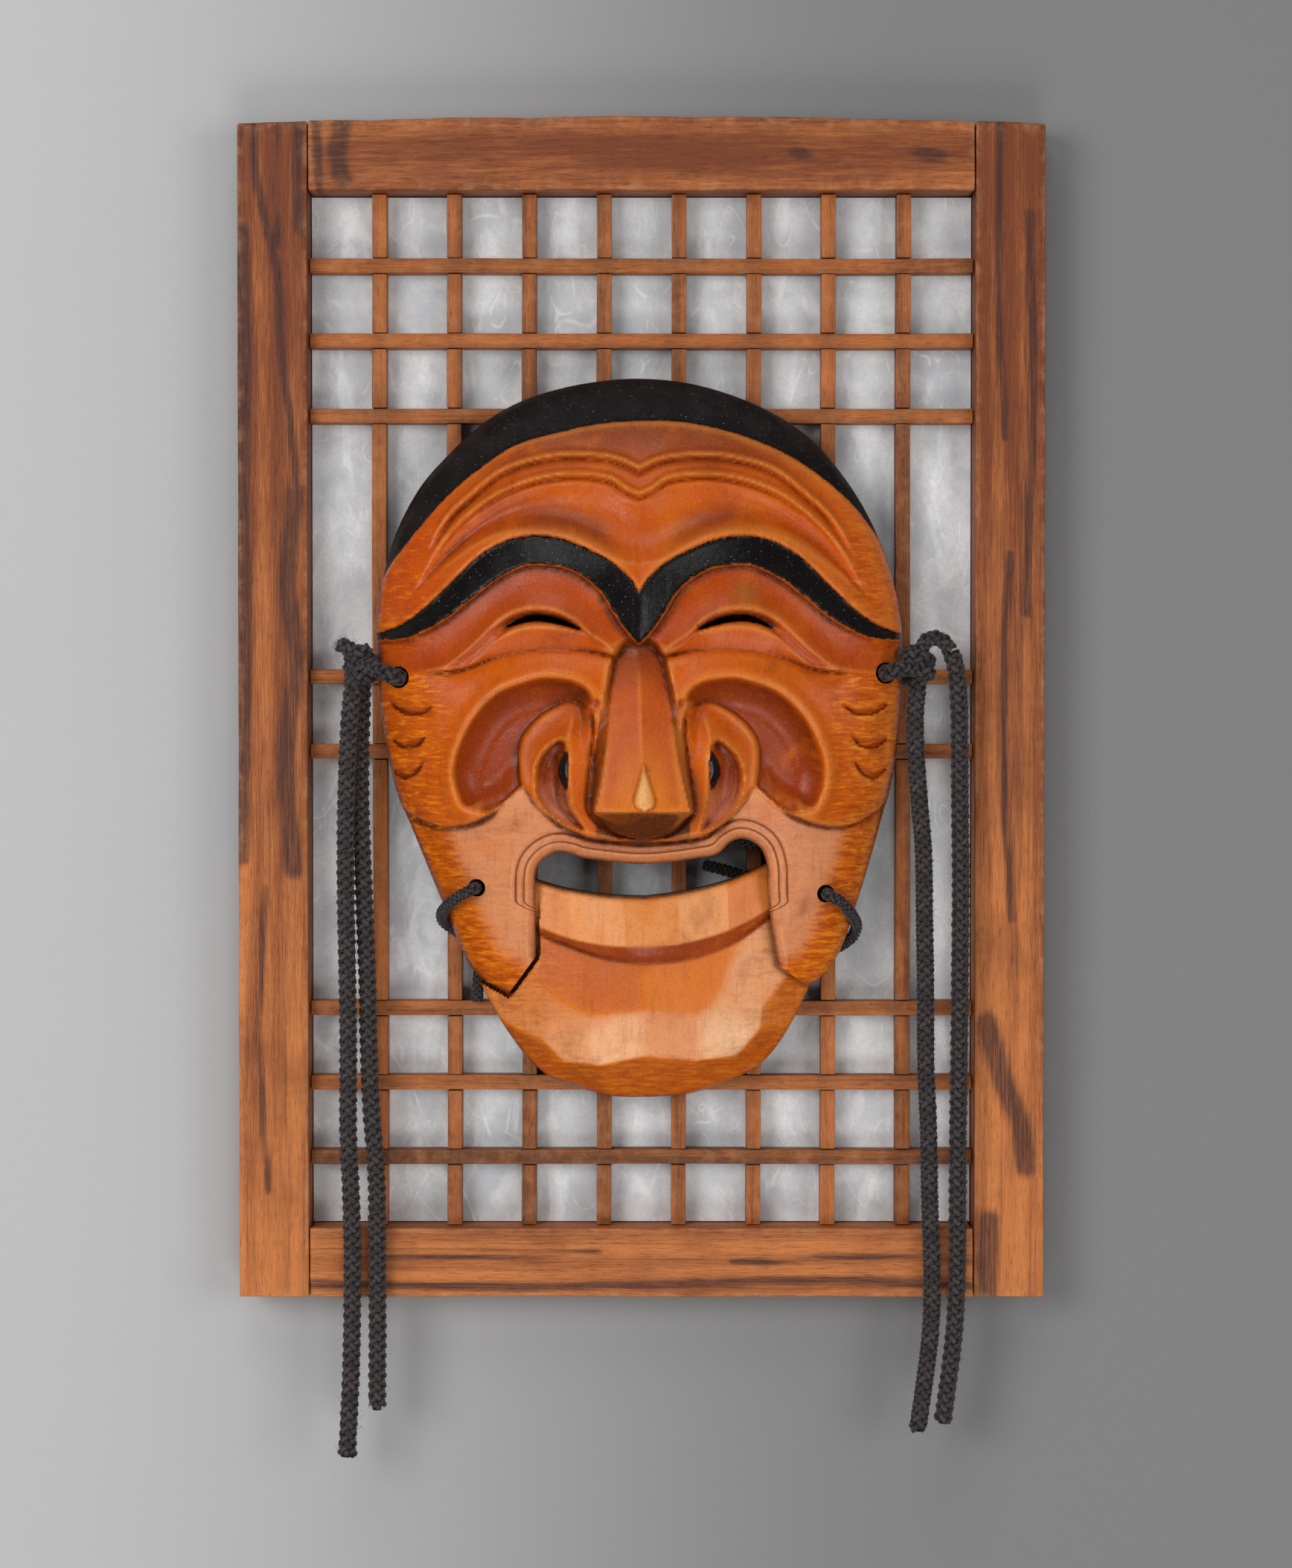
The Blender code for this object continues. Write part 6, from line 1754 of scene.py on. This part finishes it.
class PLAQUE_OT_knots(bpy.types.Operator):
    """Wind the two knots beside the ears, with the strand that goes through each ear"""
    bl_idname = "plaque.knots"
    bl_label = "Ear Knots"

    def execute(self, context):
        settings = context.scene.plaque_cords
        surface = cord_finish("charcoal knotted cord", settings, 0.5)
        for number, (name, knot) in enumerate(KNOTS.items()):
            rng = np.random.default_rng(60 + number)
            side = -1 if "left" in name else 1
            x, z, ahead = knot["centre"]
            x -= KNOT_SHIFT * side
            yarn = Yarn()
            turns = np.linspace(0, 2.35, 34)
            angle = 2 * math.pi * turns + 0.8
            wound = [(x + 3.5 * math.cos(t), z + 4.6 - 9.0 * s, ahead - side * 3.7 * math.sin(t))
                     for t, s in zip(angle, turns / turns[-1])]
            self.run(yarn, wound, 5.6 * MM, 12.5 * MM, rng)
            self.run(yarn, knot["strand"], 5.7 * MM, 12.5 * MM, rng)
            end = knot["end"] if side > 0 else LEFT_KNOT_END
            self.run(yarn, end, 5.3 * MM, 12.5 * MM, rng)
            for route_name, route in CORD_ROUTES.items():
                if name.split("_")[-1] in route_name and abs(route[0][1] - z) > 6:
                    x1, z1, a1 = route[0]
                    stub = [(x + 0.5 * (x1 - x), z + 1.0, ahead + 0.5 * (a1 - ahead)),
                            (x + 0.85 * (x1 - x), z - 3.6, ahead + 0.85 * (a1 - ahead)),
                            (x1, z1 + 0.15, a1)]
                    self.run(yarn, stub, 5.9 * MM, 13 * MM, rng)
            if side < 0:
                yarn.fray(world_line(end), 4.4 * MM, 90, rng, 2.4 * MM, 0.04 * MM)
            piece = yarn.piece(name.replace("ear_knot", "wound_knot"))
            dress(piece, surface, "ear_cord", name)
        return {"FINISHED"}

    def run(self, yarn, route, diameter, pitch, rng):
        line = even_line(world_line(route), 0.45 * MM)
        yarn.braid(line, diameter, pitch, rng)
        yarn.fuzz(line, diameter, 60, rng)


class PLAQUE_OT_ties(bpy.types.Operator):
    """Braid the two thin ties that hold the jaw to the upper mask"""
    bl_idname = "plaque.ties"
    bl_label = "Jaw Ties"

    def execute(self, context):
        settings = context.scene.plaque_cords
        surface = cord_finish("black jaw tie cord", settings, 0.2)
        for number, (name, routes) in enumerate((("jaw_tie_left", (TIE_LEFT,)),
                                                 ("jaw_tie_right", (TIE_RIGHT, TIE_RIGHT_TAIL)))):
            rng = np.random.default_rng(80 + number)
            yarn = Yarn()
            for route in routes:
                points = np.array([in_world(*p) for p in on_face(route, settings.tie_diameter)])
                line = even_line(points, 0.3 * MM)
                yarn.braid(line, settings.tie_diameter, 8.0 * MM, rng)
                yarn.fuzz(line, settings.tie_diameter, 70, rng, 1.2 * MM)
                yarn.fray(line, settings.tie_diameter, 18, rng, 1.2 * MM)
            dress(yarn.piece(name.replace("jaw_tie", "thin_tie")), surface, "tie_cord", name)
        return {"FINISHED"}


class PLAQUE_OT_frame(bpy.types.Operator):
    """Make the four members of the old wood frame"""
    bl_idname = "plaque.frame"
    bl_label = "Wood Frame"

    def execute(self, context):
        settings = context.scene.plaque_frame
        surface = wood_finish("old frame wood", settings.pale_colour, settings.dark_colour,
                              srgb(62, 34, 26), 0.57, 9.0, srgb(206, 150, 104), 0.5)
        for number, (node, along) in enumerate((("stile_left", "z"), ("stile_right", "z"),
                                                ("rail_top", "x"), ("rail_bottom", "x"))):
            low, high = (np.array(corner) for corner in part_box(node))
            if node != "rail_bottom":
                high[2] = 0.0
            item = member(f"{node}_board", low, high, settings.edge_width, along, 0.25 * MM, 11 + number)
            if node != "rail_bottom":
                bow_top(item)
            figure_of(item, node)
            smooth(item, 40)
            dress(item, surface, "frame_wood", node)
        return {"FINISHED"}


class PLAQUE_OT_lattice(bpy.types.Operator):
    """Make the half-lapped bars of the lattice"""
    bl_idname = "plaque.lattice"
    bl_label = "Lattice"

    def execute(self, context):
        settings = context.scene.plaque_lattice
        surface = wood_finish("lattice bar wood", settings.pale_colour, settings.dark_colour,
                              srgb(58, 32, 18), 0.60, 6.0, srgb(196, 138, 90), 0.46)
        across, up = bar_places()
        half = OPENING_HALF_WIDTH - GAP
        first = up[0]
        level = bar("lattice_level_bar", (-half, -BAR_FRONT, first - BAR_WIDTH / 2),
                    (half, -BAR_BACK, first + BAR_WIDTH / 2), "x", across, False, 100)
        low, high = OPENING_BOTTOM + GAP, OPENING_TOP - GAP
        upright = bar("lattice_upright_bar", (across[0] - BAR_WIDTH / 2, -BAR_FRONT, low),
                      (across[0] + BAR_WIDTH / 2, -BAR_BACK, high), "z", up, True, 200)
        self.copies(level, "level", "x", up, across, surface)
        self.copies(upright, "upright", "z", across, up, surface)
        return {"FINISHED"}

    def copies(self, pattern, kind, along, rows, crossings, surface):
        """Copy the first bar to each row with its own wander and wood."""
        row_axis = 2 if along == "x" else 0
        for number, row in enumerate(rows, 1):
            item = pattern if number == 1 else pattern.copy()
            if number > 1:
                item.data = pattern.data.copy()
                bpy.context.scene.collection.objects.link(item)
                item.name = f"lattice_{kind}_bar_{number}"
        made = [pattern] + [bpy.data.objects[f"lattice_{kind}_bar_{n}"] for n in range(2, len(rows) + 1)]
        for number, (item, row) in enumerate(zip(made, rows), 1):
            co = places(item)
            co[:, row_axis] += row - rows[0]
            put_places(item, co)
            node = f"lattice_{kind}_{number}"
            low, high = (np.array(corner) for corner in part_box(node))
            settle_bar(item, along, crossings, low, high, 300 + 40 * row_axis + number)
            smooth(item, 35)
            dress(item, surface, "lattice_wood", node)


class PLAQUE_OT_paper(bpy.types.Operator):
    """Lay the handmade paper behind the lattice"""
    bl_idname = "plaque.paper"
    bl_label = "Paper"

    def execute(self, context):
        low, high = (np.array(corner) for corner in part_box("mulberry_paper"))
        start()
        bpy.ops.mesh.primitive_grid_add(x_subdivisions=110, y_subdivisions=170, size=1)
        item = named("paper_sheet")
        co = places(item)
        wave = 0.5 * soft_noise(co * (0.22, 0.34, 1), 0.05, 9)
        flat = np.column_stack(((low[0] + high[0]) / 2 + co[:, 0] * (high - low)[0],
                                np.full(len(co), low[1]) + 0.1 * MM * (1 + np.clip(wave, -1, 1)),
                                (low[2] + high[2]) / 2 + co[:, 1] * (high - low)[2]))
        put_places(item, flat)
        bpy.ops.object.mode_set(mode="EDIT")
        bpy.ops.mesh.select_all(action="SELECT")
        bpy.ops.mesh.normals_make_consistent(inside=False)
        bpy.ops.object.mode_set(mode="OBJECT")
        thick = item.modifiers.new("paper thickness", "SOLIDIFY")
        thick.thickness, thick.offset = 0.25 * MM, 0.0
        apply_all(item)
        smooth(item, 50)
        dress(item, paper_finish(context.scene.plaque_paper), "mulberry_paper", "mulberry_paper")
        return {"FINISHED"}


class PLAQUE_OT_mask(bpy.types.Operator):
    """Carve the upper mask, from its hair to its cheek flaps"""
    bl_idname = "plaque.mask"
    bl_label = "Upper Mask"

    def execute(self, context):
        settings = context.scene.plaque_mask
        holes = [circle(at, EAR_HOLE_RADIUS) for at in EAR_HOLES]
        holes += [circle(at, TIE_HOLE_RADIUS) for at in TIE_HOLES]
        for side in (-1, 1):
            holes.append(mirrored(smooth_line(EYE_SLIT, closed=True, per_span=4), side))
            holes.append(mirrored(smooth_line(NOSTRIL_SLIT, closed=True, per_span=4), side))
        item = cut_sheet("carved_upper_mask", mask_outline(), holes, settings.mask_grid / MM)
        carve(item, mask_front, mask_back, lambda u, v: (u, v), 0.1)
        stain_piece(item, mask_front, mask_back, face_stain_and_light, face_paint_and_nostril_shadow, lambda u, v: (u, v),
                    (-92, -88), (92, 126))
        smooth(item, 50)
        dress(item, varnish(settings), "mask_wood", "upper_mask")
        return {"FINISHED"}


class PLAQUE_OT_jaw(bpy.types.Operator):
    """Carve the jaw with its lip, its undercut and its faceted chin"""
    bl_idname = "plaque.jaw"
    bl_label = "Jaw"

    def execute(self, context):
        settings = context.scene.plaque_mask
        holes = [circle(mask_to_jaw(*at), JAW_HOLE_RADIUS) for at in TIE_HOLES]
        item = cut_sheet("carved_jaw", jaw_outline(), holes, settings.jaw_grid / MM)
        carve(item, jaw_front, jaw_back, jaw_to_mask, 0.1)
        stain_piece(item, jaw_front, jaw_back, jaw_stain_and_light, lambda w, v: (np.full(len(w), -9.0), np.zeros(len(w))),
                    mask_to_jaw, (-66, -120), (66, -36))
        smooth(item, 50)
        dress(item, varnish(settings), "mask_wood", "jaw")
        return {"FINISHED"}


def varnish(settings):
    """The mask's two pieces share one varnish."""
    found = bpy.data.materials.get("varnished carved wood")
    return found or varnished_finish(settings)


class PLAQUE_PT_panel(bpy.types.Panel):
    """Pieces of the mask plaque"""
    bl_idname = "PLAQUE_PT_panel"
    bl_label = "Mask Plaque"
    bl_space_type = "VIEW_3D"
    bl_region_type = "UI"
    bl_category = "Mask Plaque"

    def draw(self, context):
        for group, operators in PANEL_ROWS:
            box = self.layout.box()
            settings = getattr(context.scene, group)
            for name in settings.bl_rna.properties.keys():
                if name not in ("rna_type", "name"):
                    box.prop(settings, name)
            for operator in operators:
                box.operator(operator.bl_idname)


SETTINGS = {
    "plaque_stage": StageSettings, "plaque_cords": CordSettings, "plaque_frame": FrameSettings,
    "plaque_lattice": LatticeSettings, "plaque_paper": PaperSettings, "plaque_mask": MaskSettings,
}
PANEL_ROWS = (
    ("plaque_stage", (PLAQUE_OT_stage,)),
    ("plaque_cords", (PLAQUE_OT_cords, PLAQUE_OT_knots, PLAQUE_OT_ties)),
    ("plaque_frame", (PLAQUE_OT_frame,)),
    ("plaque_lattice", (PLAQUE_OT_lattice,)),
    ("plaque_paper", (PLAQUE_OT_paper,)),
    ("plaque_mask", (PLAQUE_OT_mask, PLAQUE_OT_jaw)),
)
CLASSES = (*SETTINGS.values(), *(op for _, ops in PANEL_ROWS for op in ops), PLAQUE_PT_panel)


def register():
    for item in CLASSES:
        bpy.utils.register_class(item)
    for name, group in SETTINGS.items():
        setattr(bpy.types.Scene, name, PointerProperty(type=group))


def unregister():
    for name in SETTINGS:
        delattr(bpy.types.Scene, name)
    for item in reversed(CLASSES):
        bpy.utils.unregister_class(item)


def main():
    register()
    bpy.ops.plaque.stage()
    bpy.ops.plaque.cords()
    bpy.ops.plaque.knots()
    bpy.ops.plaque.ties()
    bpy.ops.plaque.frame()
    bpy.ops.plaque.lattice()
    bpy.ops.plaque.paper()
    bpy.ops.plaque.mask()
    bpy.ops.plaque.jaw()
    start()


if __name__ == "__main__":
    main()
